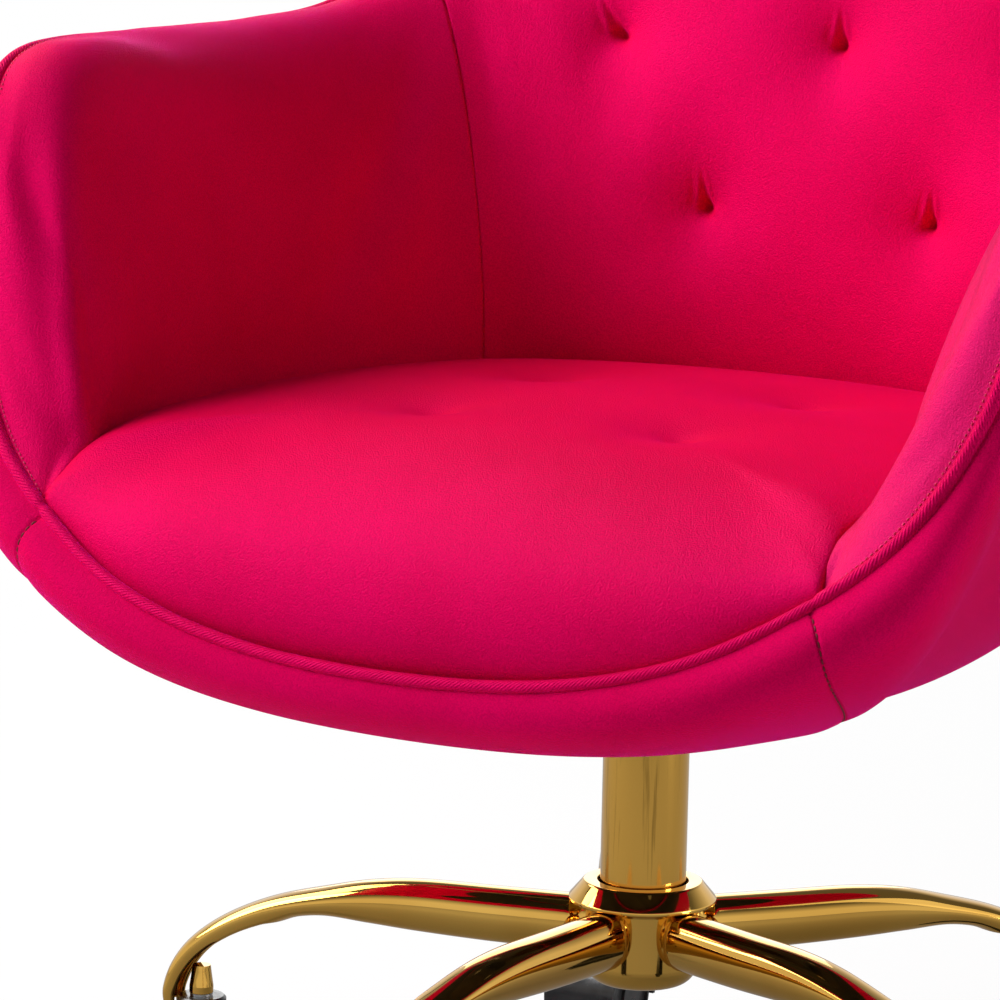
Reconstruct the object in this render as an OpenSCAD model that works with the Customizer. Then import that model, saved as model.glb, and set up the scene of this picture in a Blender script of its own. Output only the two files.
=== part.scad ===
// Upholstered swivel tub chair on a five-star caster base.
// Millimetres. Origin on the floor under the column, +Z up, the sitter faces -Y.

/* [Tub rim] */
// Half width of the rim along the arms
arm_half_w = 336; // [310:1:360]
// Height of the rim along the arms
arm_rim_z = 633; // [600:1:660]
// Height of the rim at the top of the back
back_rim_z = 843; // [780:1:900]
// Height of the rim at the middle of the front
front_rim_z = 330; // [322:1:345]
// Reach of the front rim ahead of the column
front_reach = 294; // [280:1:310]
// Reach of the top of the back behind the column
back_reach = 315; // [290:1:340]

/* [Tub shell] */
// Height of the flat underside of the tub
shell_z = 285; // [280:1:288]
// Radius of the flat underside of the tub
shell_flat_r = 120; // [112:1:130]
// Thickness of the padded outer cover
cover_t = 4; // [2.5:0.5:6]
// Thickness of the moulded tub frame
frame_t = 9; // [6:0.5:11]
// Clearance between the layers of the tub
layer_gap = 0.9; // [0.7:0.1:1.2]
// Clearance between the pads and the frame
pad_gap = 1.2; // [1:0.1:2]
// Opening in the outer cover for the seat pan
cover_hole_r = 104; // [103:1:108]

/* [Cushions] */
// Height of the seat at its crown
seat_crown_z = 452; // [440:1:465]
// Height of the crease round the seat
crease_z = 426; // [418:1:430]
// Half width of the seat between the arms
seat_half_w = 250; // [235:1:260]
// Room for an arm pad between the seat and the rim
arm_pad_w = 86; // [80:1:90]
// Distance of the rear crease behind the column
seat_back_y = 189; // [175:1:200]
// Depth of the four seat dimples
dimple_depth = 9; // [4:0.5:12]
// Depth of the back tufts
tuft_depth = 17; // [10:1:20]
// Spacing of the back tufts across the back
tuft_pitch_x = 148; // [130:1:160]
// Spacing of the back tuft rows
tuft_pitch_z = 102; // [90:1:110]
// Height of the lowest row of back tufts
tuft_z = 533; // [515:1:550]
// Radius of the piping cord round the rim
welt_r = 3.8; // [3:0.1:4.5]

/* [Column] */
// Outer diameter of the column tube
tube_d = 50; // [48:0.5:52]
// Wall of the column tube
tube_wall = 1.5; // [1.2:0.1:2.5]
// Height of the top of the column tube
tube_top_z = 254; // [246:1:255]
// Diameter of the sliding gas cylinder
gas_d = 28; // [26:0.5:30]
// Diameter of the piston rod
rod_d = 10; // [8:0.5:11]
// Radial running clearance of shafts
run_gap = 0.05; // [0.02:0.01:0.1]
// Lift travel
lift_travel = 90; // [60:1:95]

/* [Base] */
// Height of the top of the hub
hub_top_z = 161; // [156:1:165]
// Height of the bottom of the hub
hub_bottom_z = 100; // [96:1:102]
// Radius of the hub between the legs
hub_r = 33; // [31:0.5:36]
// Radius of the hub collar
hub_collar_r = 43; // [40:0.5:46]
// Turn of the base about the column
base_turn = 49.5; // [0:0.5:72]
// Number of legs
leg_n = 5;
// Radius from the column to the caster axis
caster_r = 271; // [262:1:274]
// Height of the top of the legs at the hub
leg_top_z = 148.5; // [146:0.5:150]
// Height of the leg section at the hub
leg_h = 33; // [28:0.5:35]
// Width of the leg section at the hub
leg_w = 31; // [26:0.5:33]
// Wall of the open leg end
leg_wall = 2.2; // [1.6:0.1:3]

/* [Casters] */
// Wheel diameter
wheel_d = 50; // [46:0.5:52]
// Wheel width
wheel_w = 17; // [14:0.5:19]
// Trail of the axle from the swivel axis
caster_trail = 20; // [17:0.5:21]
// Height of the top of the caster housing
caster_top_z = 65.5; // [64:0.5:66]
// Stem diameter
stem_d = 8; // [7:0.5:8]
// Axle diameter
axle_d = 6; // [5:0.5:8]

/* [Seat pan and lever] */
// Side of the square pan flange
pan_flange = 142; // [136:1:144]
// Length of the pan box
pan_l = 112; // [106:1:114]
// Width of the pan box
pan_w = 84; // [70:1:90]
// Height of the underside of the pan
pan_z = 262; // [260:0.5:263]
// Sheet thickness of the pan
pan_t = 2.6; // [2:0.1:3]
// Bolt pattern half spacing
bolt_half = 60; // [58:0.5:62]
// Bolt diameter
bolt_d = 8; // [6:0.5:8]
// Reach of the lever from the column
lever_reach = 236; // [200:1:250]
// Diameter of the lever rod
lever_d = 6; // [5:0.5:7]

/* [Hidden] */
$fn = 48;
eps = 0.01;
velvet = [0.90, 0.02, 0.33];
velvet_dark = [0.72, 0.01, 0.24];
gold = [0.80, 0.60, 0.22];
black = [0.06, 0.06, 0.07];
steel = [0.62, 0.63, 0.65];
ply = [0.78, 0.62, 0.42];
grey = [0.35, 0.35, 0.37];

tub_c = [0, -10];                    // centre that the tub sections turn about
seat_c = [0, -60];                   // centre of the seat patch
frame_in = cover_t + layer_gap + frame_t;      // depth of the frame's inner face
pad_in = frame_in + pad_gap;                   // depth of the pads' hidden face
floor_z = shell_z + cover_t + layer_gap;       // underside of the frame floor
board_z = shell_z + frame_in + layer_gap;      // underside of the mounting board
board_t = 15;
board_r = shell_flat_r - 12;
pan_top = floor_z - 0.2;
seam_i = 11.82;                      // rim station of the arm-to-back seam
corner_i = 3;                        // rim station where the seat meets the arms
last_i = 16;
leg_step = 360 / leg_n;

// ---- curves of the tub -------------------------------------------------

rise = arm_rim_z - front_rim_z;
back_rise = back_rim_z - arm_rim_z;

// Rim of the right half, front middle to back middle
rim_pts = [
  [0, -front_reach, front_rim_z],
  [0.283 * arm_half_w, 2 - front_reach, front_rim_z + 0.020 * rise],
  [0.521 * arm_half_w, 9 - front_reach, front_rim_z + 0.089 * rise],
  [0.714 * arm_half_w, 27 - front_reach, front_rim_z + 0.211 * rise],
  [0.836 * arm_half_w, 44 - front_reach, front_rim_z + 0.337 * rise],
  [0.914 * arm_half_w, 65 - front_reach, front_rim_z + 0.502 * rise],
  [0.961 * arm_half_w, 83 - front_reach, front_rim_z + 0.703 * rise],
  [0.985 * arm_half_w, 104 - front_reach, front_rim_z + 0.898 * rise],
  [0.997 * arm_half_w, 146 - front_reach, arm_rim_z - 3],
  [arm_half_w, -40, arm_rim_z],
  [0.985 * arm_half_w, 0.250 * back_reach, arm_rim_z + 1],
  [0.946 * arm_half_w, 0.519 * back_reach, arm_rim_z + 11],
  [0.866 * arm_half_w, 0.716 * back_reach, arm_rim_z + 0.238 * back_rise],
  [0.714 * arm_half_w, 0.869 * back_reach, arm_rim_z + 0.557 * back_rise],
  [0.491 * arm_half_w, 0.953 * back_reach, arm_rim_z + 0.838 * back_rise],
  [0.253 * arm_half_w, 0.991 * back_reach, back_rim_z - 7],
  [0, back_reach, back_rim_z]];

// Crease between the seat and the arms and back, from the front corner
crease_pts = [
  rim_pts[corner_i],
  [0.944 * seat_half_w, 51 - front_reach, crease_z - 13],
  [0.940 * seat_half_w, 72 - front_reach, crease_z - 4],
  [0.960 * seat_half_w, 96 - front_reach, crease_z - 1],
  [0.984 * seat_half_w, 124 - front_reach, crease_z],
  [seat_half_w, -125, crease_z],
  [0.988 * seat_half_w, -60, crease_z],
  [0.936 * seat_half_w, 0.079 * seat_back_y, crease_z],
  [0.852 * seat_half_w, 0.476 * seat_back_y, crease_z],
  [0.752 * seat_half_w, 0.767 * seat_back_y, crease_z],
  [0.600 * seat_half_w, 0.899 * seat_back_y, crease_z],
  [0.408 * seat_half_w, 0.958 * seat_back_y, crease_z],
  [0.208 * seat_half_w, 0.989 * seat_back_y, crease_z],
  [0, seat_back_y, crease_z]];

function flip(p) = [-p[0], p[1], p[2]];
function clamp(v, lo, hi) = min(max(v, lo), hi);
function ease(f) = let (g = clamp(f, 0, 1)) g * g * (3 - 2 * g);

// Smooth curve through a list of points, at station s
function through(e, s) = let (i = clamp(floor(s), 0, len(e) - 4), f = s - i)
  0.5 * (2 * e[i + 1] + (e[i + 2] - e[i]) * f
    + (2 * e[i] - 5 * e[i + 1] + 4 * e[i + 2] - e[i + 3]) * f * f
    + (3 * e[i + 1] - e[i] - 3 * e[i + 2] + e[i + 3]) * f * f * f);

rim_ext = concat([flip(rim_pts[1])], rim_pts, [flip(rim_pts[last_i - 1])]);
crease_ext = concat([2 * crease_pts[0] - crease_pts[1]], crease_pts,
                    [flip(crease_pts[last_i - corner_i - 1])]);

function rim(i) = i < 0 ? flip(through(rim_ext, -i)) : through(rim_ext, i);
function crease(i) = i < 0 ? flip(crease(-i))
  : through(crease_ext, max(i - corner_i, 0));

// Values eased between the front, front corner, arm front, arm and back
section_keys = [0, 3.7, 6.2, 9, 16];
function keyed(s, v) = let (k = section_keys,
    n = s < k[1] ? 0 : s < k[2] ? 1 : s < k[3] ? 2 : 3)
  v[n] + (v[n + 1] - v[n]) * ease((s - k[n]) / (k[n + 1] - k[n]));

drop_share = [0.90, 0.18, 0.26, 0.42, 0.35];   // how far the wall falls from the rim
swell = [18, 58, 25, 8, 10];                   // how far it swells past the rim
tuck_share = [0.60, 0.80, 0.67, 0.57, 0.70];   // how far the belly reaches out
belly_share = 2.8;                             // how far it follows a wider seat

function bez(p, t) = p[0] * pow(1 - t, 3) + 3 * p[1] * t * pow(1 - t, 2)
  + 3 * p[2] * t * t * (1 - t) + p[3] * pow(t, 3);
function bez_dir(p, t) = (p[1] - p[0]) * pow(1 - t, 2)
  + 2 * (p[2] - p[1]) * t * (1 - t) + (p[3] - p[2]) * t * t;

// Section of the tub wall at rim station i, as radius and height
function wall(i) = let (r = rim(i), a = abs(i), h = r[2] - shell_z,
    q = norm([r[0] - tub_c[0], r[1] - tub_c[1]]))
  [[q, r[2]], [q + keyed(a, swell), r[2] - keyed(a, drop_share) * h],
   [shell_flat_r + keyed(a, tuck_share) * (q - shell_flat_r) + side_room(i), shell_z],
   [shell_flat_r, shell_z]];
// Belly that the sides gain where the seat and its arm pads outgrow the rim
function side_room(i) = belly_share * max(seat_half_w + arm_pad_w - arm_half_w, 0)
  * abs(cos(heading(i))) * ease((abs(i) - corner_i - 1.5) / 3);
function heading(i) = let (r = rim(i)) atan2(r[1] - tub_c[1], r[0] - tub_c[0]);
function place(i, b) = let (a = heading(i))
  [tub_c[0] + b[0] * cos(a), tub_c[1] + b[0] * sin(a), b[1]];

// Wall position a given distance away from the rim
function wall_start(i, d) = let (w = wall(i), a = heading(i), v = w[1] - w[0])
  d / (3 * apart([v[0] * cos(a), v[0] * sin(a), v[1]], i));
// Length of a step across the rim's own direction
function apart(v, i) = let (q = norm(cross(v, rim_dir(i)))) max(q, 0.3 * norm(v));
function rim_dir(i) = let (a = abs(i), d = rim(min(a + 0.05, last_i)) - rim(max(a - 0.05, 0)),
    v = i < 0 ? [d[0], -d[1], -d[2]] : d) v / norm(v);
// Point of the tub wall at depth d inside its outer face
function shell(i, t, d) = let (w = wall(i), v = bez_dir(w, t),
    n = [v[1], -v[0]] / norm(v)) place(i, bez(w, t) + d * n);

// Section of the arms and back, from the crease over the crown to the rim
function band(i, t) = let (r = rim(i), k = crease(i), a = abs(i), w = ease((a - 10) / 3.5),
    h = r[2] - k[2], dx = r[0] - k[0], dy = r[1] - k[1],
    lean = 0.25 - 0.55 * w, climb = 0.70 - 0.45 * w, over = 0.50 + 0.23 * w,
    lift = 0.17 * h * (1 - w) + 17 * w)
  bez([k, [k[0] + lean * dx, k[1] + lean * dy, k[2] + climb * h],
       [k[0] + over * dx, k[1] + over * dy, r[2] + lift], r], t);
function band_end(i) = let (r = rim(i), k = crease(i), w = ease((abs(i) - 10) / 3.5),
    o = 0.50 + 0.23 * w, l = 0.17 * (r[2] - k[2]) * (1 - w) + 17 * w)
  1 - (welt_r + 2.4) / (3 * apart([(1 - o) * (r[0] - k[0]), (1 - o) * (r[1] - k[1]), -l], i));

// ---- tufts and dimples -------------------------------------------------

tufts = concat([for (s = [-1, 1]) [s * tuft_pitch_x / 2, tuft_z]],
               [for (s = [-1, 0, 1]) [s * tuft_pitch_x, tuft_z + tuft_pitch_z]],
               [for (s = [-1, 1]) [s * tuft_pitch_x / 2, tuft_z + 2 * tuft_pitch_z]]);
dimples = [for (s = [-1, 1]) each [[s * 78, -120], [s * 82, 22]]];

function pull(x, z) = let (s = [for (t = tufts) let (q = norm([x - t[0], z - t[1]]))
    0.65 * exp(-pow(q / 21, 2)) + 0.35 * exp(-pow(q / 50, 2))])
  tuft_depth * min(1, s * [for (t = tufts) 1]);
function dent(x, y) = let (s = [for (t = dimples) let (q = norm([x - t[0], y - t[1]]))
    0.75 * exp(-pow(q / 34, 2)) + 0.25 * exp(-pow(q / 12, 2))])
  dimple_depth * (s * [for (t = dimples) 1]);
function back_face(i, t) = let (p = band(i, t)) [p[0], p[1] + pull(p[0], p[2]), p[2]];

// ---- lofts -------------------------------------------------------------

// Solid through a row of rings, capped at both ends or joined round;
// crossed turns the diagonals of its facets the other way
module loft(rings, round = false, crossed = false) {
  n = len(rings);
  m = len(rings[0]);
  ends = round ? [] : [centroid(rings[0]), centroid(rings[n - 1])];
  pts = concat([for (r = rings) each r], ends);
  sides = [for (i = [0:(round ? n - 1 : n - 2)]) for (j = [0:m - 1])
    let (a = i * m + j, b = i * m + (j + 1) % m, k = (i + 1) % n,
         c = k * m + (j + 1) % m, d = k * m + j)
      each crossed ? [[a, b, d], [b, c, d]] : [[a, b, c], [a, c, d]]];
  caps = round ? [] : [for (j = [0:m - 1]) each
    [[n * m, (j + 1) % m, j], [n * m + 1, (n - 1) * m + j, (n - 1) * m + (j + 1) % m]]];
  polyhedron(pts, concat(sides, caps));
}
function centroid(r) = [for (k = [0:2]) [for (p = r) p[k]] * [for (p = r) 1 / len(r)]];

// Rim stations: spans along half of the front, on each arm and to the back middle
front_spans = 5;
arm_spans = 17;
back_spans = 7;
half_i = concat([for (k = [0:front_spans - 1]) corner_i * k / front_spans],
                [for (k = [0:arm_spans - 1]) corner_i + (seam_i - corner_i) * k / arm_spans],
                [for (k = [0:back_spans]) seam_i + (last_i - seam_i) * k / back_spans]);
loop_i = concat(half_i, [for (k = [len(half_i) - 2:-1:1]) -half_i[k]]);

// ---- upholstery --------------------------------------------------------

// Both layers of the tub share these rows, so their facets stay parallel
wall_rows = 8;
function wall_row(i, k, d) = let (t = wall_start(i, welt_r + 2.6)) shell(i, t + (1 - t) * k / wall_rows, d);
function wall_edge(i, drop, d) = let (a = wall_row(i, 0, d), b = wall_row(i, 1, d))
  a + (b - a) * clamp(drop / norm(b - a), 0, 0.8);

// Closed wall of the tub between two depths, down to a hole in its floor
module tub_wall(d0, d1, drop, hole_r, crossed) {
  loft([for (i = loop_i) concat(
    [wall_edge(i, drop, d1)], [for (k = [1:wall_rows]) wall_row(i, k, d1)],
    [place(i, [hole_r, shell_z + d1]), place(i, [hole_r, shell_z + d0])],
    [for (k = [wall_rows:-1:1]) wall_row(i, k, d0)], [wall_edge(i, drop, d0)])],
    round = true, crossed = crossed);
}

module bolt_places() {
  for (a = [-1, 1], b = [-1, 1]) translate([a * bolt_half, b * bolt_half, 0]) children();
}

module outer_cover() {
  color(velvet) tub_wall(0, cover_t, 0, cover_hole_r, false);
}

module tub_frame() {
  color(ply) difference() {
    tub_wall(cover_t + layer_gap, frame_in, 24, 34, true);
    bolt_places() translate([0, 0, shell_z]) cylinder(d = bolt_d + 0.6, h = 40);
  }
}

// Hidden side of an arm or back pad, lying on the facets of the frame
function span(i) = let (a = abs(i), arm = a < seam_i, lo = arm ? corner_i : seam_i,
    n = arm ? arm_spans : back_spans, st = (arm ? seam_i - corner_i : last_i - seam_i) / n,
    k = clamp(floor((a - lo) / st), 0, n - 1)) [lo + k * st, lo + (k + 1) * st];
function facet(i, f) = let (p = span(i), g = (abs(i) - p[0]) / (p[1] - p[0]), s = i < 0 ? -1 : 1)
  f(s * p[0]) * (1 - g) + f(s * p[1]) * g;
function pad_back(i) = concat([facet(i, function (j) wall_edge(j, 25, pad_in))],
  [for (n = [1:5]) facet(i, function (j) wall_row(j, n, pad_in))]);

// Pad section that closes up towards the front corner of the arm
function arm_ring(i, rows) = let (e = band_end(i),
    f = ease((abs(i) - 3.3) / 1.6), b = pad_back(i), m = len(b),
    top = band(i, e), low = band(i, 0))
  concat([for (n = [0:rows]) band(i, e * n / rows)],
         [for (n = [0:m - 1]) let (s = (n + 1) / (m + 1),
            c = top + (low - top) * s - [0, 0, 5 * sin(180 * s)]) c + (b[n] - c) * f]);

module arm_pad_right() {
  color(velvet) loft([for (k = [arm_spans:-1:1])
    arm_ring(min(corner_i + (seam_i - corner_i) * k / arm_spans, seam_i - 0.03), 14)]);
}
module arm_pad_left() { mirror([1, 0, 0]) arm_pad_right(); }

module back_pad() {
  n = 32;
  color(velvet) loft([for (k = [0:n]) let (w = 2 * k / n - 1,
      i = last_i - (last_i - seam_i - 0.03) * abs(w), s = w > 0 ? i : -i, e = band_end(s))
    concat([for (v = [0:26]) back_face(s, e * v / 26)], pad_back(s))]);
}

// Seat surface on rays from its centre: r = 0 at the centre, 1 at the edge
function seat_edge(i) = abs(i) <= corner_i
  ? let (r = rim(i), c = [seat_c[0], seat_c[1], r[2] + 40], u = c - r, v = u - (u * rim_dir(i)) * rim_dir(i)) r + v / norm(v) * (welt_r + 0.9)
  : let (k = crease(i), v = [seat_c[0] - k[0], seat_c[1] - k[1], 0]) k + v / norm(v) * (layer_gap + 0.3);
function seat_top(i, r) = let (q = seat_edge(i), f = ease((abs(i) - 1.8) / 3),
    x = seat_c[0] + (q[0] - seat_c[0]) * r, y = seat_c[1] + (q[1] - seat_c[1]) * r,
    r0 = 0.30 + 0.52 * f, e = clamp((r - r0) / (1 - r0), 0, 1),
    shape = pow(1 - e * e, 1 / (1.75 + 0.25 * f)),
    top = seat_crown_z - 12 * pow(x / seat_half_w, 2) - 13 * pow((y + 50) / 220, 2) - dent(x, y))
  [x, y, q[2] + (top - q[2]) * shape];
// Underside of the seat: drawn in below its edge, flat on the board
function seat_under(i, s, z) = let (q = seat_edge(i))
  [seat_c[0] + (q[0] - seat_c[0]) * s, seat_c[1] + (q[1] - seat_c[1]) * s, z];
function seat_skirt(i) = abs(i) < corner_i - 0.1
  ? shell(i, wall_start(i, 20), pad_in + 0.6) : seat_under(i, 0.91, 372);

module seat_pad() {
  n = 13;
  board_top = board_z + board_t + layer_gap;
  color(velvet) loft(concat(
    [for (k = [1:n]) [for (i = loop_i) seat_top(i, 1 - pow(1 - k / n, 1.35))]],
    [[for (i = loop_i) seat_skirt(i)]],
    [[for (i = loop_i) seat_under(i, 0.52, board_top)]]));
}

// Piping cord along the rim
module rim_welt() {
  color(velvet_dark) loft([for (i = loop_i) let (p = rim(i), v = rim_dir(i),
      o = [cos(heading(i)), sin(heading(i)), 0],
      a = cross(v, o) / norm(cross(v, o)), b = cross(a, v))
    [for (j = [0:7]) p + welt_r * (cos(45 * j) * a + sin(45 * j) * b)]], round = true);
}

// ---- seat pan and lift -------------------------------------------------

module mounting_board() {
  color(ply) difference() {
    translate([0, 0, board_z]) cylinder(r = board_r, h = board_t);
    bolt_places() translate([0, 0, board_z - 1]) cylinder(d = bolt_d + 0.2, h = board_t + 2);
    translate([0, 0, board_z - 1]) cylinder(r = 30, h = 8);
  }
}

cone_top = pan_z + 15;            // top of the gas cylinder in the pan
cone_r1 = gas_d / 2 - 0.8;        // taper radius at the top
socket_z = pan_z - 4;

module pan_box(l, w, h, r) {
  linear_extrude(h) translate([r - l / 2, r - w / 2]) rounded_plate(l, w, r);
}
// Rounded rectangle made of two bars and four corner discs
module rounded_plate(l, w, r) {
  translate([-r, 0]) square([l, w - 2 * r]);
  translate([0, -r]) square([l - 2 * r, w]);
  for (x = [0, l - 2 * r], y = [0, w - 2 * r]) translate([x, y]) circle(r);
}

module seat_pan() {
  color(grey) difference() {
    union() {
      translate([0, 0, pan_top - pan_t]) pan_box(pan_flange, pan_flange, pan_t, 10);
      translate([0, 0, pan_z]) pan_box(pan_l, pan_w, pan_top - pan_z, 12);
      translate([0, 0, socket_z]) cylinder(r = gas_d / 2 + 5, h = 10);
    }
    translate([0, 0, pan_z + pan_t]) pan_box(pan_l - 2 * pan_t, pan_w - 2 * pan_t, pan_top, 9.4);
    translate([0, 0, socket_z]) taper_bore();
    bolt_places() translate([0, 0, pan_top - 10]) cylinder(d = bolt_d + 0.4, h = 20);
    // notch for the lever through the wall and the flange
    translate([-pan_flange / 2 - 1, -6, pan_z + 9]) cube([pan_flange / 2 + 1 - (pan_l / 2 - pan_t - 1), 12, 40]);
    // pivot hole for the lever pin
    translate([lever_x, 0, lever_z]) rotate([90, 0, 0]) cylinder(d = 5.02, h = pan_w + 2, center = true);
  }
  // collar that grips the taper
  color(grey) difference() {
    translate([0, 0, pan_z + pan_t]) cylinder(r = gas_d / 2 + 5, h = 10);
    translate([0, 0, socket_z]) taper_bore();
  }
}
function taper_r(z) = gas_d / 2 - 0.02 * (z - socket_z);
module taper_bore() {
  translate([0, 0, -eps]) cylinder(r1 = taper_r(socket_z) + 0.02, r2 = taper_r(cone_top) + 0.02, h = cone_top - socket_z + 2 * eps);
}

module pan_bolts() {
  color(steel) bolt_places() {
    translate([0, 0, pan_top - pan_t - 5.5]) cylinder(d = 13, h = 5.5, $fn = 6);
    translate([0, 0, pan_top - pan_t - 1]) cylinder(d = bolt_d, h = board_z + board_t - 1 - (pan_top - pan_t - 1));
  }
}

gas_foot = hub_bottom_z + 26;     // lowest end of the gas cylinder at rest
rod_top = gas_foot + lift_travel + 21;

module gas_cylinder() {
  color(steel) rotate_extrude() polygon([
    [rod_d / 2 + run_gap, gas_foot], [gas_d / 2 - 1, gas_foot], [gas_d / 2, gas_foot + 1],
    [gas_d / 2, socket_z], [taper_r(cone_top), cone_top],
    [3 + run_gap, cone_top], [3 + run_gap, cone_top - 12],
    [gas_d / 2 - 2, cone_top - 12], [gas_d / 2 - 2, gas_foot + 8], [rod_d / 2 + run_gap, gas_foot + 8]]);
}

module valve_pin() {
  color(gold) {
    translate([0, 0, cone_top - 9]) cylinder(r = 3, h = 13);
    translate([0, 0, cone_top - 16.5]) cylinder(r = 5, h = 4);
    translate([0, 0, cone_top - 13]) cylinder(r = 3, h = 5);
  }
}

// Lever: pad over the valve pin, pivot in the pan, rod out to the sitter's right
lever_x = -40;
lever_z = cone_top + 6.5;
module height_lever() {
  color(steel) difference() {
    union() {
      // flat arm over the pin
      translate([lever_x, -4, cone_top + 4.3]) cube([6 - lever_x, 8, 4.4]);
      // eye for the pivot pin
      translate([lever_x, 0, lever_z]) rotate([90, 0, 0]) cylinder(r = 5.2, h = 9, center = true);
      // rod, cranked down outside the pan
      loft([for (p = lever_path) [for (j = [0:15]) let (a = -22.5 * j)
        [p[0] + lever_d / 2 * sin(p[2]) * sin(a), lever_d / 2 * cos(a), p[1] - lever_d / 2 * cos(p[2]) * sin(a)]]]);
    }
    translate([lever_x, 0, lever_z]) rotate([90, 0, 0]) cylinder(d = 5 + 2 * run_gap, h = 20, center = true);
  }
}
lever_crank = 32;                 // slope of the cranked run
lever_run = 18;                   // straight length of the cranked run
bend_r = 10;                      // radius of the rod's elbows
elbow_z = bend_r * (1 - cos(lever_crank));
elbow_x = [26, 26 + 2 * bend_r * sin(lever_crank) + lever_run * cos(lever_crank)];
grip_z = lever_z - 2 * elbow_z - lever_run * sin(lever_crank);
// Path of the rod: place and slope, out from the pivot through two elbows
lever_path = concat([[lever_x - 3.5, lever_z, 0]],
  [for (a = [0:lever_crank / 4:lever_crank])
    [lever_x - elbow_x[0] - bend_r * sin(a), lever_z - bend_r * (1 - cos(a)), a]],
  [for (a = [lever_crank:-lever_crank / 4:0])
    [lever_x - elbow_x[1] + bend_r * sin(a), grip_z + bend_r * (1 - cos(a)), a]],
  [[12 - lever_reach, grip_z, 0]]);

module lever_pin() {
  color(steel) translate([lever_x, 0, lever_z]) rotate([90, 0, 0]) cylinder(d = 5, h = pan_w + 1, center = true);
}

module lever_grip() {
  color(black) difference() {
    translate([-lever_reach, 0, grip_z]) rotate([0, 90, 0]) rotate_extrude() polygon([
      [0, 0], [5, 0], [6.8, 2], [7, 6], [6, 28], [5.2, 56], [4.4, 60], [0, 60]]);
    translate([-lever_reach + 12 - eps, 0, grip_z]) rotate([0, 90, 0]) cylinder(d = lever_d + 0.04, h = 60);
  }
}

// ---- column ------------------------------------------------------------

tube_r = tube_d / 2;
tube_foot = hub_bottom_z + 6;
function seat_taper(z) = tube_r - 0.024 * max(0, hub_top_z - 8 - z);

module column_tube() {
  color(gold) rotate_extrude() polygon([
    [rod_d / 2 + 0.3, tube_foot], [seat_taper(tube_foot), tube_foot], [tube_r, hub_top_z - 8],
    [tube_r, tube_top_z - 1], [tube_r - 1, tube_top_z], [tube_r - tube_wall, tube_top_z],
    [tube_r - tube_wall, hub_top_z - 8], [seat_taper(tube_foot) - tube_wall, tube_foot + 3],
    [rod_d / 2 + 0.3, tube_foot + 3]]);
}

module guide_bush() {
  bush_r = tube_r - tube_wall - 0.05;
  color(black) rotate_extrude() polygon([
    [gas_d / 2 + run_gap, hub_top_z + 6], [bush_r, hub_top_z + 6], [bush_r, tube_top_z + 0.05],
    [tube_r - 0.6, tube_top_z + 0.05], [tube_r - 1.6, tube_top_z + 2], [gas_d / 2 + run_gap, tube_top_z + 2]]);
}

bearing_z = tube_foot + 3;
module bearing_washer() {
  color(steel) translate([0, 0, bearing_z]) difference() {
    cylinder(r = 12, h = 1.5);
    translate([0, 0, -1]) cylinder(r = rod_d / 2 + 0.3, h = 4);
  }
}
module bearing_balls() {
  color(steel) translate([0, 0, bearing_z + 1.5]) rotate_extrude()
    translate([9, 1.5]) circle(1.5);
}
module rod_washer() {
  color(steel) translate([0, 0, bearing_z + 4.8]) difference() {
    cylinder(r = 12, h = 1.5);
    translate([0, 0, -1]) cylinder(r = rod_d / 2 + 0.02, h = 4);
  }
}
module piston_rod() {
  groove_z = tube_foot - 2.4;
  color(steel) rotate_extrude() polygon([
    [0, groove_z - 2], [rod_d / 2 - 0.5, groove_z - 2], [rod_d / 2, groove_z - 1.5], [rod_d / 2, groove_z],
    [rod_d / 2 - 1, groove_z], [rod_d / 2 - 1, groove_z + 1.2], [rod_d / 2, groove_z + 1.2],
    [rod_d / 2, bearing_z + 6.3], [8, bearing_z + 6.3], [8, bearing_z + 9.3], [rod_d / 2, bearing_z + 9.3],
    [rod_d / 2, rod_top - 10], [gas_d / 2 - 2 - 0.1, rod_top - 10], [gas_d / 2 - 2 - 0.1, rod_top], [0, rod_top]]);
}
module rod_clip() {
  color(steel) translate([0, 0, tube_foot - 2.35]) difference() {
    cylinder(r = 7.5, h = 1.1);
    translate([0, 0, -1]) cylinder(r = rod_d / 2 - 0.95, h = 4);
    translate([0, -2.5, -1]) cube([12, 5, 4]);
  }
}

// ---- base --------------------------------------------------------------

module base_hub() {
  color(gold) rotate_extrude() polygon(concat(
    [[tube_r + 1.5, hub_top_z], [tube_r + 9, hub_top_z], [tube_r + 10, hub_top_z - 0.6],
     [hub_collar_r, hub_top_z - 10], [hub_collar_r, hub_top_z - 12],
     [hub_r + 1.5, hub_top_z - 14], [hub_r, hub_top_z - 15.5]],
    [for (a = [0:15:90]) [hub_r - 12.5 + 12.5 * cos(a), hub_bottom_z + 12.5 - 12.5 * sin(a)]],
    [[hub_r - 14, hub_bottom_z + 1], [hub_r - 14, tube_foot - 0.5],
     [seat_taper(tube_foot - 0.5) + 0.02, tube_foot - 0.5],
     [tube_r + 0.02, hub_top_z - 8], [tube_r + 1.5, hub_top_z - 8]]));
}

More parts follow.
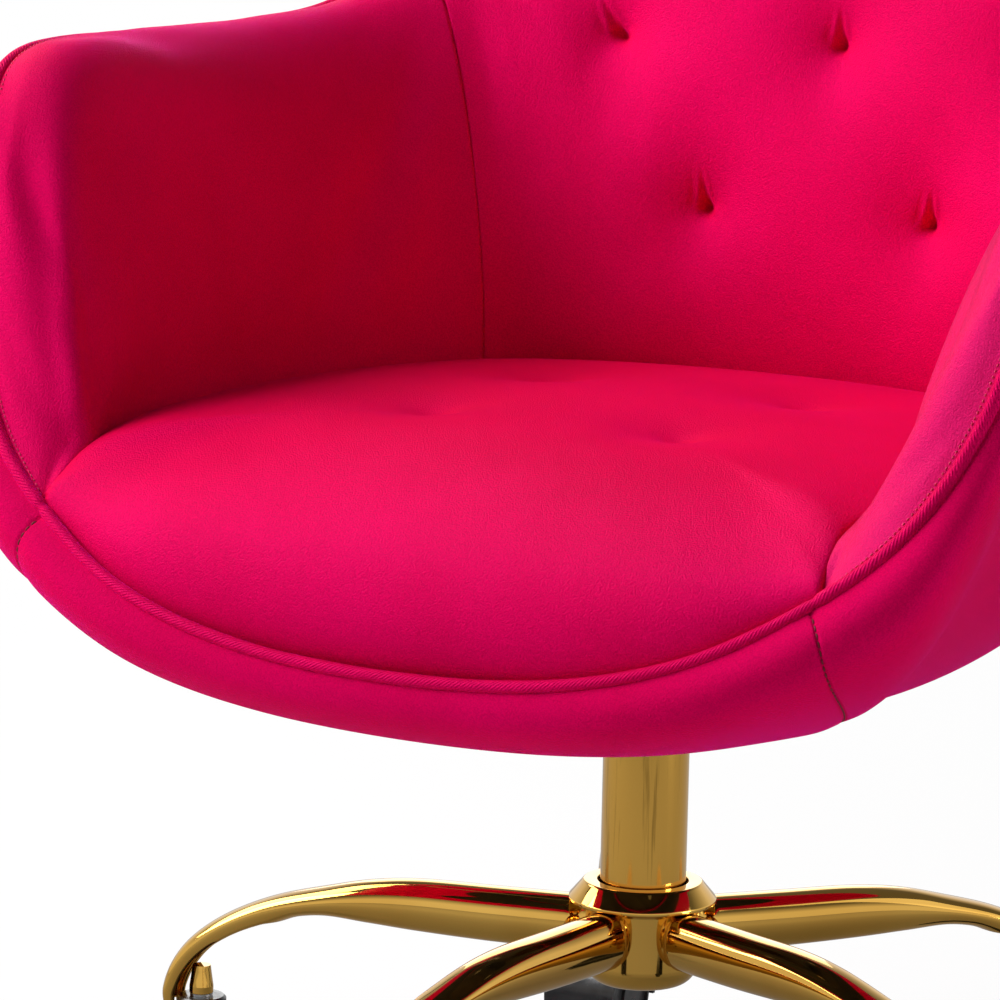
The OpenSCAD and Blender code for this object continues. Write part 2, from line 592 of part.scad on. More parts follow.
// Leg: path of its middle, with half height and half width of the section,
// given by its share of the way out and its drop below the top at the hub
leg_out = caster_r + 22;
leg_line = [
  [0.07, 17, 1.10], [0.115, 16.7, 1.03], [0.16, 16.5, 1.00], [0.31, 16.2, 1.00], [0.46, 15.3, 1.00], [0.565, 15.8, 0.97],
  [0.665, 18.2, 0.92], [0.755, 24.0, 0.87], [0.830, 32.3, 0.83], [0.890, 42.2, 0.81],
  [0.937, 53.6, 0.80], [0.968, 66.0, 0.79], [0.985, 79.0, 0.76], [0.986, 88.5, 0.70]];
leg_half_h = [18, 17, leg_h / 2, 0.98 * leg_h / 2, 0.92 * leg_h / 2, 0.76 * leg_h / 2, 0.50 * leg_h / 2, 7.0, 6.4, 6.2, 6.0, 5.6, 5.0, 4.2];
function leg_mid(k) = [leg_line[k][0] * leg_out, leg_top_z - leg_line[k][1]];
function leg_dir(k) = let (a = leg_mid(max(k - 1, 0)), b = leg_mid(min(k + 1, len(leg_line) - 1))) (b - a) / norm(b - a);

// Rounded section standing square to the path, pulled in by a wall, opened below by a skirt
function leg_ring(k, inset, skirt) = let (m = leg_mid(k), d = leg_dir(k), h = leg_half_h[k] - inset,
    w = leg_line[k][2] * leg_w / 2 - inset)
  [for (j = [0:17]) let (a = -20 * j, c = cos(a), s = sin(a), x = sign(c) * pow(abs(c), 0.85) * w,
      z = sign(s) * pow(abs(s), 0.85) * h - (s < -0.1 ? skirt : 0))
    [m[0] - d[1] * z, x, m[1] + d[0] * z]];

module leg_hood() {
  first = 7;
  last = len(leg_line) - 1;
  tail = leg_mid(last) + 8 * leg_dir(last) - leg_mid(last);
  loft(concat([for (k = [first:last]) leg_ring(k, leg_wall, k == first ? -2 : 16)],
              [[for (p = leg_ring(last, leg_wall, 16)) p + [tail[0], 0, tail[1]]]]));
}

socket_top = caster_top_z + 18.5;
module base_leg(n) {
  color(gold) rotate([0, 0, base_turn + leg_step * (n - 1)]) difference() {
    union() {
      difference() {
        loft([for (k = [0:len(leg_line) - 1]) leg_ring(k, 0, 0)]);
        leg_hood();
      }
      intersection() {
        translate([caster_r, 0, socket_top]) cylinder(r = 5.4, h = 40);
        loft([for (k = [6:len(leg_line) - 1]) leg_ring(k, 0.6, 0)]);
      }
      translate([caster_r, 0, socket_top]) cylinder(r = 5.4, h = 14);
    }
    translate([0, 0, hub_bottom_z]) cylinder(r = hub_r + 0.02, h = hub_top_z - 15.5 - hub_bottom_z);
    translate([0, 0, hub_top_z - 15.6]) cylinder(r1 = hub_r + 0.02, r2 = hub_collar_r + 0.2, h = 3.7);
    translate([0, 0, hub_top_z - 12]) cylinder(r = hub_collar_r + 0.2, h = 20);
  }
}
module base_leg_1() { base_leg(1); }
module base_leg_2() { base_leg(2); }
module base_leg_3() { base_leg(3); }
module base_leg_4() { base_leg(4); }
module base_leg_5() { base_leg(5); }

module at_casters() {
  for (n = [1:leg_n]) at_caster(n) children();
}
module at_caster(n) {
  a = base_turn + leg_step * (n - 1);
  translate([caster_r * cos(a), caster_r * sin(a), 0]) children();
}

socket_foot = caster_top_z + 1.8;
module stem_sockets() {
  color(gold) at_casters() rotate_extrude() polygon([
    [stem_d / 2 + run_gap, socket_foot], [7.2, socket_foot], [7.2, socket_foot + 4], [5.4, socket_top],
    [0, socket_top], [0, socket_top - 1.6], [stem_d / 2 + run_gap, socket_top - 1.6]]);
}

// ---- casters -----------------------------------------------------------

wheel_r = wheel_d / 2;
web = 11;                          // thickness of the housing between the wheels
wheel_in = web / 2 + 0.9;          // inner face of each wheel
hood_r = wheel_r + 3.8;
hood_w = 2 * (wheel_in + wheel_w) + 2;

module along_axle(x) { translate([x, -caster_trail, wheel_r]) rotate([0, 90, 0]) children(); }

module caster_housing() {
  color(black) difference() {
    union() {
      // hood over both wheels, cut off below the axle
      intersection() {
        along_axle(-hood_w / 2) cylinder(r = hood_r, h = hood_w);
        translate([-50, -caster_trail - 60, wheel_r - 4]) cube([100, 120, 60]);
      }
      // web that carries the axle
      along_axle(-web / 2) cylinder(r = 13, h = web);
      // turret under the leg
      rotate_extrude() polygon([[0, wheel_r], [13.5, wheel_r], [13.5, caster_top_z - 8],
        [15, caster_top_z - 4], [15, caster_top_z - 1.5], [13.5, caster_top_z], [0, caster_top_z]]);
    }
    for (s = [-1, 1]) along_axle(s > 0 ? web / 2 : -web / 2 - 40) cylinder(r = wheel_r + 1.2, h = 40);
    translate([0, 0, wheel_r + 14]) cylinder(d = stem_d + 0.04, h = 60);
    along_axle(-20) cylinder(d = axle_d + 0.04, h = 40);
  }
}

module caster_stem() {
  color(steel) rotate_extrude() polygon([
    [0, wheel_r + 14.2], [stem_d / 2 - 0.6, wheel_r + 14.2], [stem_d / 2, wheel_r + 15], [stem_d / 2, caster_top_z + 0.05],
    [6.8, caster_top_z + 0.05], [6.8, caster_top_z + 1.4], [stem_d / 2, caster_top_z + 1.4],
    [stem_d / 2, socket_top - 4], [stem_d / 2 - 1, socket_top - 2.4], [0, socket_top - 2.4]]);
}

module caster_axle() {
  color(steel) along_axle(-(wheel_in + wheel_w - 3)) cylinder(d = axle_d, h = 2 * (wheel_in + wheel_w - 3));
}

// Wheel with a rounded tread and a dished outer face, standing on its inner face
module wheel() {
  color(black) rotate_extrude() difference() {
    union() {
      translate([0, 3]) square([wheel_r, wheel_w - 6]);
      square([wheel_r - 3, wheel_w]);
      for (z = [3, wheel_w - 3]) translate([wheel_r - 3, z]) circle(3);
    }
    translate([wheel_r * 0.42, wheel_w - 2.2]) square([wheel_r * 0.42, 4]);
    translate([-1, -1]) square([1 + axle_d / 2 + run_gap, wheel_w - 1.5]);
    translate([-40, -1]) square([40, wheel_w + 2]);
  }
}
module wheel_pair_half(side) {
  translate([0, -caster_trail, wheel_r]) rotate([0, 90 * side, 0]) translate([0, 0, wheel_in]) wheel();
}

module caster_housing_1() { at_caster(1) caster_housing(); }
module caster_housing_2() { at_caster(2) caster_housing(); }
module caster_housing_3() { at_caster(3) caster_housing(); }
module caster_housing_4() { at_caster(4) caster_housing(); }
module caster_housing_5() { at_caster(5) caster_housing(); }
module caster_stem_1() { at_caster(1) caster_stem(); }
module caster_stem_2() { at_caster(2) caster_stem(); }
module caster_stem_3() { at_caster(3) caster_stem(); }
module caster_stem_4() { at_caster(4) caster_stem(); }
module caster_stem_5() { at_caster(5) caster_stem(); }
module caster_axle_1() { at_caster(1) caster_axle(); }
module caster_axle_2() { at_caster(2) caster_axle(); }
module caster_axle_3() { at_caster(3) caster_axle(); }
module caster_axle_4() { at_caster(4) caster_axle(); }
module caster_axle_5() { at_caster(5) caster_axle(); }
module wheel_right_1() { at_caster(1) wheel_pair_half(1); }
module wheel_right_2() { at_caster(2) wheel_pair_half(1); }
module wheel_right_3() { at_caster(3) wheel_pair_half(1); }
module wheel_right_4() { at_caster(4) wheel_pair_half(1); }
module wheel_right_5() { at_caster(5) wheel_pair_half(1); }
module wheel_left_1() { at_caster(1) wheel_pair_half(-1); }
module wheel_left_2() { at_caster(2) wheel_pair_half(-1); }
module wheel_left_3() { at_caster(3) wheel_pair_half(-1); }
module wheel_left_4() { at_caster(4) wheel_pair_half(-1); }
module wheel_left_5() { at_caster(5) wheel_pair_half(-1); }

base_hub();
base_leg_1();
base_leg_2();
base_leg_3();
base_leg_4();
base_leg_5();
stem_sockets();
column_tube();
guide_bush();
bearing_washer();
bearing_balls();
piston_rod();
rod_washer();
rod_clip();
gas_cylinder();
seat_pan();
pan_bolts();
mounting_board();
tub_frame();
outer_cover();
seat_pad();
back_pad();
arm_pad_right();
arm_pad_left();
rim_welt();
valve_pin();
height_lever();
lever_pin();
lever_grip();
caster_housing_1();
caster_housing_2();
caster_housing_3();
caster_housing_4();
caster_housing_5();
caster_stem_1();
caster_stem_2();
caster_stem_3();
caster_stem_4();
caster_stem_5();
caster_axle_1();
caster_axle_2();
caster_axle_3();
caster_axle_4();
caster_axle_5();
wheel_right_1();
wheel_right_2();
wheel_right_3();
wheel_right_4();
wheel_right_5();
wheel_left_1();
wheel_left_2();
wheel_left_3();
wheel_left_4();
wheel_left_5();
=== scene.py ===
# %% [markdown]
# # A tufted velvet tub chair on a gold star base
#
# The chair is a moulded tub dressed in hot pink velvet. One piping cord runs
# along its whole rim. Inside lie a crowned seat, a tufted back and two rolled
# arms. Below stand a mirror-polished gold column, a hub, swan-neck legs and
# black twin-wheel casters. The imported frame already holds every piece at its
# true size, so this lesson only makes the surfaces that a camera sees. In the
# names of pieces, right and left are as the picture shows them.

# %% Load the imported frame
import math

import bpy
import numpy as np
from mathutils import Matrix


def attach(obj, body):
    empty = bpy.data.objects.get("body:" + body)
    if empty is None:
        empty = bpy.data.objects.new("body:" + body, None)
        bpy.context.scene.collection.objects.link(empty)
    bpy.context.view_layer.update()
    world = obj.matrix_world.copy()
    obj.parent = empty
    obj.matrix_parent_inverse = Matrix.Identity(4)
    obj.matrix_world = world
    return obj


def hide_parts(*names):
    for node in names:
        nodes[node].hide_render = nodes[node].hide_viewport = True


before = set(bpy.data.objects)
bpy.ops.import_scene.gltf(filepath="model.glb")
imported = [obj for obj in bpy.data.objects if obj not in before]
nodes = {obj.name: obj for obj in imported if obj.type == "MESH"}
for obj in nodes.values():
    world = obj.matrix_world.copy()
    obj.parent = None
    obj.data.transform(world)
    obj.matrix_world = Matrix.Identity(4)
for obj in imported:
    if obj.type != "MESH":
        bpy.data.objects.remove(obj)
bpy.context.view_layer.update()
scene = bpy.context.scene
MM = 0.001

# %% [markdown]
# ## The camera
#
# The picture was taken from the front and a little to the sitter's left, with
# a long lens. A long lens keeps the lines of the column parallel, so the
# camera stands almost three metres away. A constraint could aim it, but the
# picture also leans a little, so its three axes are written as plain vectors:
# right, up and back. Blender's camera looks along its own -Z.

# %% Camera
CAMERA_ANGLES = (29.864, 9.602, 1.203)  # turn, pitch and roll, degrees
CAMERA_REACH, AIM_RIGHT, AIM_Z = 2863.8, -87.564, 382.129  # mm
LENS, SENSOR = 180.0, 36.0  # mm
FAR_END = 60.0  # metres


def placed(x, y, z, place):
    """Matrix whose columns are three axes and a place in metres."""
    matrix = np.eye(4)
    matrix[:3] = np.stack([x, y, z, place], -1)
    return Matrix(matrix.tolist())


turn, pitch, roll = np.radians(CAMERA_ANGLES)
level = np.array([math.cos(turn), math.sin(turn), 0.0])
facing = np.array([math.sin(turn), -math.cos(turn), 0.0])
back = facing * math.cos(pitch) + np.array([0.0, 0.0, math.sin(pitch)])
upward = np.cross(back, level)
right = level * math.cos(roll) + upward * math.sin(roll)
up = upward * math.cos(roll) - level * math.sin(roll)
eye = np.array([0, 0, AIM_Z]) + level * AIM_RIGHT + back * CAMERA_REACH

camera_data = bpy.data.cameras.new("photo_camera")
camera_data.lens = LENS
camera_data.sensor_width = SENSOR
camera_data.clip_end = FAR_END
camera = bpy.data.objects.new("photo_camera", camera_data)
scene.collection.objects.link(camera)
camera.matrix_world = placed(right, up, back, eye * MM)
scene.camera = camera
print("camera at", np.round(eye * MM, 3))

# %% [markdown]
# ## The curves of the tub
#
# Everything soft hangs on two curves in space. The rim carries the piping, and
# the crease is where the seat meets the arms and the back. They could be drawn
# as Bezier curves, but a table of points is easier to compare with the solids.
# Only the sitter's left half is written down, and the other half is its mirror
# image. Station 0 is the front middle, 3 the corner of the seat, 16 the middle
# of the back. A smooth curve through the points gives every place in between.

# %% Rim and crease
REACH = 315.0
rim_points = np.array([
    (0, -294, 330), (95, -292, 336), (175, -285, 357), (240, -267, 394), (281, -250, 432),
    (307, -229, 482), (323, -211, 543), (331, -190, 602), (335, -148, 630), (336, -40, 633),
    (331, 0.250 * REACH, 634), (318, 0.519 * REACH, 644), (291, 0.716 * REACH, 683),
    (240, 0.869 * REACH, 750), (165, 0.953 * REACH, 809), (85, 0.991 * REACH, 836),
    (0, REACH, 843)])
crease_points = np.array([
    (240, -267, 394), (236, -243, 413), (235, -222, 422), (240, -198, 425), (246, -170, 426),
    (250, -125, 426), (247, -60, 426), (234, 15, 426), (213, 90, 426), (188, 145, 426),
    (150, 170, 426), (102, 181, 426), (52, 187, 426), (0, 189, 426)], float)
CORNER, SEAM, LAST = 3.0, 11.82, 16.0  # stations
COURSE_STEP = 0.05
mirror = np.array([-1.0, 1.0, 1.0])


def through(points, s):
    """Smooth curve through points[1:-1]: a cubic in each span whose slope at a
    point is half the step between its two neighbours."""
    k = np.clip(np.floor(s).astype(int), 0, len(points) - 4)
    f = (s - k).reshape(np.shape(s) + (1,) * (points.ndim - 1))
    a, b, c, d = (points[k + step] for step in range(4))
    square = 2 * a - 5 * b + 4 * c - d
    cube = 3 * b - a - 3 * c + d
    return 0.5 * (2 * b + (c - a) * f + square * f**2 + cube * f**3)


def ease(f):
    """Slow start and slow end between 0 and 1."""
    g = np.clip(f, 0.0, 1.0)
    return g * g * (3 - 2 * g)


rim_row = np.vstack([rim_points[1] * mirror, rim_points, rim_points[-2] * mirror])
before_crease = 2 * crease_points[0] - crease_points[1]
crease_row = np.vstack([before_crease, crease_points, crease_points[-2] * mirror])


def on_side(p, i):
    """Mirrors the points of negative stations to the sitter's right."""
    q = p.copy()
    q[..., 0] = np.where(i < 0, -q[..., 0], q[..., 0])
    return q


def rim(i):
    """Point of the rim at station i."""
    return on_side(through(rim_row, np.abs(i)), i)


def crease(i):
    """Point of the crease at station i; it begins at the corner of the seat."""
    return on_side(through(crease_row, np.maximum(np.abs(i) - CORNER, 0)), i)


def unit(v):
    """Vectors scaled to a length of one."""
    return v / np.maximum(np.linalg.norm(v, axis=-1, keepdims=True), 1e-9)


def rim_course(i):
    """Direction of the rim, always running towards larger stations: the step
    from a point just behind to a point just ahead."""
    a = np.abs(i)
    ahead, behind = np.minimum(a + COURSE_STEP, LAST), np.maximum(a - COURSE_STEP, 0)
    v = through(rim_row, ahead) - through(rim_row, behind)
    v[..., 1:] = np.where((i < 0)[..., None], -v[..., 1:], v[..., 1:])
    return unit(v)


def run_along(path):
    """Distance along a path, from its first point to every point."""
    return np.concatenate([[0], np.cumsum(np.linalg.norm(np.diff(path, axis=0), axis=1))])


print("rim length %.0f mm" % (2 * run_along(rim(np.linspace(0, LAST, 1601)))[-1]))

# %% [markdown]
# ## The wall and the rolled band
#
# The outside wall falls from the rim in one belly to the flat underside. The
# inside band climbs from the crease, rolls over the arm or the top of the back
# and comes down on the piping. A loft would need many drawn sections. Instead
# both are cubic curves in an upright plane, and their middle points change
# with the station, so the front can be shallow, the arms full and the back
# tall, without a seam.

# %% Wall
CENTRE_Y, SHELL_Z, FLAT_R = -10.0, 285.0, 120.0
section_keys = np.array([0, 3.7, 6.2, 9, 16])  # stations of the five values below
FALL = (0.90, 0.18, 0.26, 0.42, 0.35)  # drop of the upper middle point, as a share
SWELL = (18, 58, 25, 8, 10)  # how far that point stands out, mm
TUCK = (0.60, 0.80, 0.67, 0.57, 0.70)  # reach of the lower middle point, as a share
PROBE = 0.01


def keyed(i, values):
    """Values eased between the front, front corner, arm front, arm and back."""
    s = np.abs(i)
    n = np.clip(np.searchsorted(section_keys, s, side="right") - 1, 0, len(section_keys) - 2)
    v = np.asarray(values, float)
    f = ease((s - section_keys[n]) / (section_keys[n + 1] - section_keys[n]))
    return v[n] + (v[n + 1] - v[n]) * f


def cubic(p, t):
    """Cubic curve with four control points, p[0] at t = 0 and p[3] at t = 1."""
    t = t[..., None]
    start = p[0] * (1 - t) ** 3 + 3 * p[1] * t * (1 - t) ** 2
    return start + 3 * p[2] * t * t * (1 - t) + p[3] * t**3


def heading(points):
    """Angle of points about the tub's upright middle line."""
    return np.arctan2(points[..., 1] - CENTRE_Y, points[..., 0])


def spun(radius, angle, z, middle=CENTRE_Y):
    """Points at a radius and an angle about an upright line at y = middle."""
    x, y = radius * np.cos(angle), middle + radius * np.sin(angle)
    return np.stack([x, y, z + np.zeros_like(x)], -1)


def wall(i, t, depth=0.0):
    """Tub wall at station i, t from the rim (0) to the flat underside (1): a
    cubic, moved inwards by depth along the section's own normal."""
    i, t = np.broadcast_arrays(np.asarray(i, float), np.asarray(t, float))
    r = rim(i)
    top = r[..., 2]
    reach = np.hypot(r[..., 0], r[..., 1] - CENTRE_Y)
    flat = np.full_like(reach, SHELL_Z)
    upper = (reach + keyed(i, SWELL), top - keyed(i, FALL) * (top - SHELL_Z))
    lower = (FLAT_R + keyed(i, TUCK) * (reach - FLAT_R), flat)
    end = (np.full_like(reach, FLAT_R), flat)
    p = [np.stack(q, -1) for q in ((reach, top), upper, lower, end)]
    u = t[..., None]
    slope = (p[1] - p[0]) * (1 - u) ** 2 + 2 * (p[2] - p[1]) * u * (1 - u) + (p[3] - p[2]) * u * u
    normal = unit(np.stack([slope[..., 1], -slope[..., 0]], -1))
    b = cubic(p, t) + np.asarray(depth)[..., None] * normal
    return spun(b[..., 0], heading(r), b[..., 1])


def wall_start(i, gap):
    """Wall parameter a given distance away from the rim cord, from the length
    of one short step down the wall, measured square to the cord."""
    a, b = wall(i, np.zeros_like(i)), wall(i, np.full_like(i, PROBE))
    step = np.linalg.norm(np.cross(b - a, rim_course(i)), axis=-1)
    return PROBE * gap / np.maximum(step, 0.3 * np.linalg.norm(b - a, axis=-1))


print("wall below the front, mm:", np.round(wall(0.0, np.linspace(0, 1, 3)), 0).tolist())

# %% Band
ARM_BAND, BACK_CHANGE = (0.25, 0.70, 0.50), (-0.55, -0.45, 0.23)  # lean, climb and over
ARM_LIFT, BACK_LIFT = 0.17, 17.0  # a share of the height, and mm


def band_points(i):
    """Control points of the inside band: crease, lean, roll and rim."""
    r, k = rim(i), crease(i)
    w = ease((np.abs(i) - 10) / 3.5)
    h = r[..., 2] - k[..., 2]
    lean, climb, over = (arm + change * w for arm, change in zip(ARM_BAND, BACK_CHANGE))
    lift = ARM_LIFT * h * (1 - w) + BACK_LIFT * w

    def between(share, z):
        """Point that a share of the way leads to from the crease, at height z."""
        xy = k[..., :2] + share[..., None] * (r - k)[..., :2]
        return np.concatenate([xy, z[..., None]], -1)
    return [k, between(lean, k[..., 2] + climb * h), between(over, r[..., 2] + lift), r]


def band(i, t):
    """Inside band at station i, t from the crease (0) to the rim (1): a cubic."""
    i, t = np.broadcast_arrays(np.asarray(i, float), np.asarray(t, float))
    return cubic(band_points(i), t)


def band_end(i, gap):
    """Band parameter a given distance short of the rim cord, from the cubic's
    end slope, which is three times its last leg, measured square to the cord."""
    p = band_points(i)
    leg = p[3] - p[2]
    step = 3 * np.linalg.norm(np.cross(leg, rim_course(i)), axis=-1)
    return 1 - gap / np.maximum(step, 0.9 * np.linalg.norm(leg, axis=-1))


print("band over the arm, mm:", np.round(band(9.0, np.linspace(0, 1, 5)), 0).tolist())

# %% [markdown]
# ## From arrays to meshes
#
# A surface is a grid of points. Its faces are the squares between neighbours,
# and either direction of the grid may close on itself. The whole index table
# is made at once, and foreach_set writes it into the mesh, which is much
# faster than adding faces one by one. A closed surface has a signed volume, so
# a negative sign tells that the faces look inwards, and they are turned round.

# %% Mesh helpers


def grid_faces(rows, cols, wrap_rows=False, wrap_cols=False):
    """Corner numbers of every square of a grid, four to a row."""
    r = np.arange(rows if wrap_rows else rows - 1)
    c = np.arange(cols if wrap_cols else cols - 1)
    r, c = np.meshgrid(r, c, indexing="ij")
    r1, c1 = (r + 1) % rows, (c + 1) % cols
    corners = [r * cols + c, r * cols + c1, r1 * cols + c1, r1 * cols + c]
    return np.stack(corners, -1).reshape(-1, 4)


def ring_caps(rows, cols):
    """The two polygons that close the ends of a row of rings."""
    return [np.arange(cols)[::-1], (rows - 1) * cols + np.arange(cols)]


def signed_volume(points, quads):
    """Six times the volume is the sum of a . (b x c) over the triangles."""
    p = points[quads]
    first = np.einsum("ij,ij->", p[:, 0], np.cross(p[:, 1], p[:, 2]))
    return (first + np.einsum("ij,ij->", p[:, 0], np.cross(p[:, 2], p[:, 3]))) / 6


def face_out(points, quads, caps):
    """Turns all faces round where the signed volume is negative, and says so."""
    turned = signed_volume(points, quads) < 0
    if turned:
        quads = quads[:, ::-1]
        caps = [cap[::-1] for cap in caps]
    return quads, caps, turned


def put_mesh(name, points, quads, caps=(), closed=True, uv=None):
    """Writes points in millimetres, squares and cap polygons into a new object."""
    if closed:
        quads, caps, turned = face_out(points, quads, caps)
        uv = uv[:, ::-1] if turned and uv is not None else uv
    mesh = bpy.data.meshes.new(name)
    corners = np.concatenate([quads.ravel()] + [np.asarray(cap) for cap in caps]).astype(np.int32)
    sizes = np.concatenate([np.full(len(quads), 4)] + [[len(cap)] for cap in caps]).astype(np.int32)
    mesh.vertices.add(len(points))
    mesh.vertices.foreach_set("co", (points * MM).astype(np.float32).ravel())
    mesh.loops.add(len(corners))
    mesh.loops.foreach_set("vertex_index", corners)
    mesh.polygons.add(len(sizes))
    mesh.polygons.foreach_set("loop_start", (np.cumsum(sizes) - sizes).astype(np.int32))
    mesh.polygons.foreach_set("use_smooth", np.ones(len(sizes), bool))
    if uv is not None:
        flat = np.zeros((len(corners), 2), np.float32)
        flat[: len(quads) * 4] = uv.reshape(-1, 2)
        mesh.uv_layers.new(name="along").data.foreach_set("uv", flat.ravel())
    mesh.update(calc_edges=True)
    mesh.validate()
    piece = bpy.data.objects.new(name, mesh)
    scene.collection.objects.link(piece)
    return piece


def normals_of(grid):
    """Unit normal at every grid point, from the steps to its neighbours."""
    return unit(np.cross(np.gradient(grid, axis=0), np.gradient(grid, axis=1)))


def dress(piece, material, body, slot, *hidden):
    """Gives a piece its finish, its body and the solids it stands for. The slot is not used."""
    piece.data.materials.clear()
    piece.data.materials.append(material)
    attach(piece, body)
    if hidden:
        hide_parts(*hidden)
    return piece


def loft_piece(name, rings, caps=True, uv=None):
    """Closed skin over a row of closed rings, with a polygon at each end."""
    rows, cols = rings.shape[:2]
    quads = grid_faces(rows, cols, not caps, True)
    return put_mesh(name, rings.reshape(-1, 3), quads, ring_caps(rows, cols) if caps else [], uv=uv)


print("a grid of 3 by 4 points has", len(grid_faces(3, 4)), "faces")

# %% [markdown]
# ## Finishes from nodes
#
# A finish is a small net of nodes. It could be clicked together in the shader
# editor, but a script can build many finishes from the same few steps. A noise
# colours the surface, a second varies its gloss, and a third raises it a
# little. Noise on the object's own metres needs no picture and never stretches.

# %% Material helpers


def finish(name, roughness, metallic=0.0):
    """New material: returns it with its node tree and its shader."""
    material = bpy.data.materials.new(name)
    material.use_nodes = True
    shader = material.node_tree.nodes["Principled BSDF"]
    shader.inputs["Roughness"].default_value = roughness
    shader.inputs["Metallic"].default_value = metallic
    return material, material.node_tree, shader


def feed(tree, value, socket):
    """Sets a socket to a number, or joins it to another node's output."""
    if isinstance(value, bpy.types.NodeSocket):
        tree.links.new(value, socket)
    else:
        socket.default_value = value


def add_node(tree, kind, **inputs):
    """New node whose inputs, named with _ for a space, are numbers or outputs."""
    node = tree.nodes.new(kind)
    for name, value in inputs.items():
        feed(tree, value, node.inputs[name.replace("_", " ")])
    return node


def noise(tree, scale, detail=2.0, roughness=0.5, stretch=(1, 1, 1)):
    """Noise on the object's own metres, stretched if asked."""
    place = tree.nodes.new("ShaderNodeTexCoord").outputs["Object"]
    sized = add_node(tree, "ShaderNodeMapping", Vector=place, Scale=stretch).outputs["Vector"]
    grain = add_node(tree, "ShaderNodeTexNoise", Vector=sized, Scale=scale, Detail=detail)
    grain.inputs["Roughness"].default_value = roughness
    return grain.outputs["Fac"]


def ramp(tree, value, low, high, start=0.35, stop=0.65):
    """Colour that runs from low to high while the value runs from start to stop."""
    node = add_node(tree, "ShaderNodeValToRGB", Fac=value)
    ends = node.color_ramp.elements
    ends[0].position, ends[1].position = start, stop
    ends[0].color, ends[1].color = (*low, 1), (*high, 1)
    return node.outputs["Color"]


def spread(tree, value, low, high, start=0.3, stop=0.7):
    """Number that runs from low to high while the value runs from start to stop."""
    node = add_node(tree, "ShaderNodeMapRange", Value=value, From_Min=start, From_Max=stop)
    node.inputs["To Min"].default_value = low
    node.inputs["To Max"].default_value = high
    return node.outputs["Result"]


def multiplied(tree, a, b):
    """Product of two colours."""
    node = tree.nodes.new("ShaderNodeMix")
    node.data_type, node.blend_type = "RGBA", "MULTIPLY"
    node.inputs["Factor"].default_value = 1.0
    tree.links.new(a, node.inputs["A"])
    tree.links.new(b, node.inputs["B"])
    return node.outputs["Result"]


def bump(tree, shader, value, strength, depth, below=None):
    """Raises the surface by the value; depth is in metres."""
    node = add_node(tree, "ShaderNodeBump", Height=value, Strength=strength, Distance=depth)
    if below is not None:
        tree.links.new(below, node.inputs["Normal"])
    tree.links.new(node.outputs["Normal"], shader.inputs["Normal"])
    return node.outputs["Normal"]


def grained(name, roughness, tint, gloss=None, relief=None, metallic=0.0):
    """Finish from up to three noises: tint colours it, gloss varies its
    roughness and relief raises it. Each starts with what noise() takes."""
    material, tree, shader = finish(name, roughness, metallic)
    tree.links.new(ramp(tree, noise(tree, *tint[0]), *tint[1:]), shader.inputs["Base Color"])
    if gloss:
        tree.links.new(spread(tree, noise(tree, *gloss[0]), *gloss[1:]), shader.inputs["Roughness"])
    if relief:
        bump(tree, shader, noise(tree, *relief[0]), *relief[1:])
    return material


def near_black(tone):
    """Grey of a given tone with a hint of blue."""
    return (tone, tone, tone + 0.001)


print("near black:", near_black(0.006))

# %% [markdown]
# ## Velvet
#
# Short-pile velvet is dark when you look into the pile and pale where light
# grazes it. Hair strands could make the pile, but at this distance a shader is
# enough. Its sheen layer gives the pale edge, and a small metallic share gives
# the broad highlight the colour of the dye. Seen along the pile the dye turns
# redder, so Layer Weight tints it there. A fine noise roughens the surface at
# the size of the pile, about a millimetre, and a broad one shifts the colour
# as brushed nap does. The back is painted a little lighter and the cover and
# piping a little darker, painted light and shade for how brightly each panel
# is lit, and the right arm has paler dyes, a painted highlight.

# %% Velvet
NAP_SCALE, QUILT_SCALE, PILE_SCALE = 11, 190, 1050  # noise waves, from broad to fine
DEEP_DYE, BRIGHT_DYE = (0.78, 0.0005, 0.095), (0.88, 0.0006, 0.125)
WHITE, PILE_SHADE = (1.0, 1.0, 1.0), (0.80, 0.80, 0.80)
GRAZED_TINT = (1.0, 1.0, 0.5)  # along the pile the eye meets its redder sides
SHEEN_TINT, HIGHLIGHT_TINT = (1.0, 0.02, 0.75), (1.0, 0.03, 0.85)


def velvet_finish(name, deep, bright, sheen=0.55, sheen_tint=SHEEN_TINT, gloss=(0.44, 0.60)):
    """Velvet whose broad noise runs from the deep to the bright colour."""
    material, tree, shader = finish(name, 0.82, 0.12)
    shader.inputs["Sheen Weight"].default_value = sheen
    shader.inputs["Sheen Roughness"].default_value = 0.28
    shader.inputs["Sheen Tint"].default_value = (*sheen_tint, 1)
    shader.inputs["Specular IOR Level"].default_value = 0.04
    shader.inputs["Specular Tint"].default_value = (*HIGHLIGHT_TINT, 1)
    pile = noise(tree, PILE_SCALE, 2.5, 0.6)
    slant = tree.nodes.new("ShaderNodeLayerWeight").outputs["Facing"]
    broad = ramp(tree, noise(tree, NAP_SCALE, 3.0, 0.55), deep, bright, 0.25, 0.75)
    dyed = multiplied(tree, broad, ramp(tree, slant, WHITE, GRAZED_TINT, 0.2, 0.8))
    shaded = multiplied(tree, dyed, ramp(tree, pile, PILE_SHADE, WHITE, 0.34, 0.64))
    tree.links.new(shaded, shader.inputs["Base Color"])
    tree.links.new(spread(tree, pile, *gloss), shader.inputs["Roughness"])
    coarse = bump(tree, shader, noise(tree, QUILT_SCALE, 2.0, 0.5), 0.08, 0.0010)
    bump(tree, shader, pile, 0.75, 0.0010, coarse)
    return material


def painted_light_tone(share):
    """The dye at two brightnesses, both scaled by a share that paints the panel lighter or darker
    for how it is lit: painted light and shade.
    """
    return [tuple(share * c for c in dye) for dye in (DEEP_DYE, BRIGHT_DYE)]
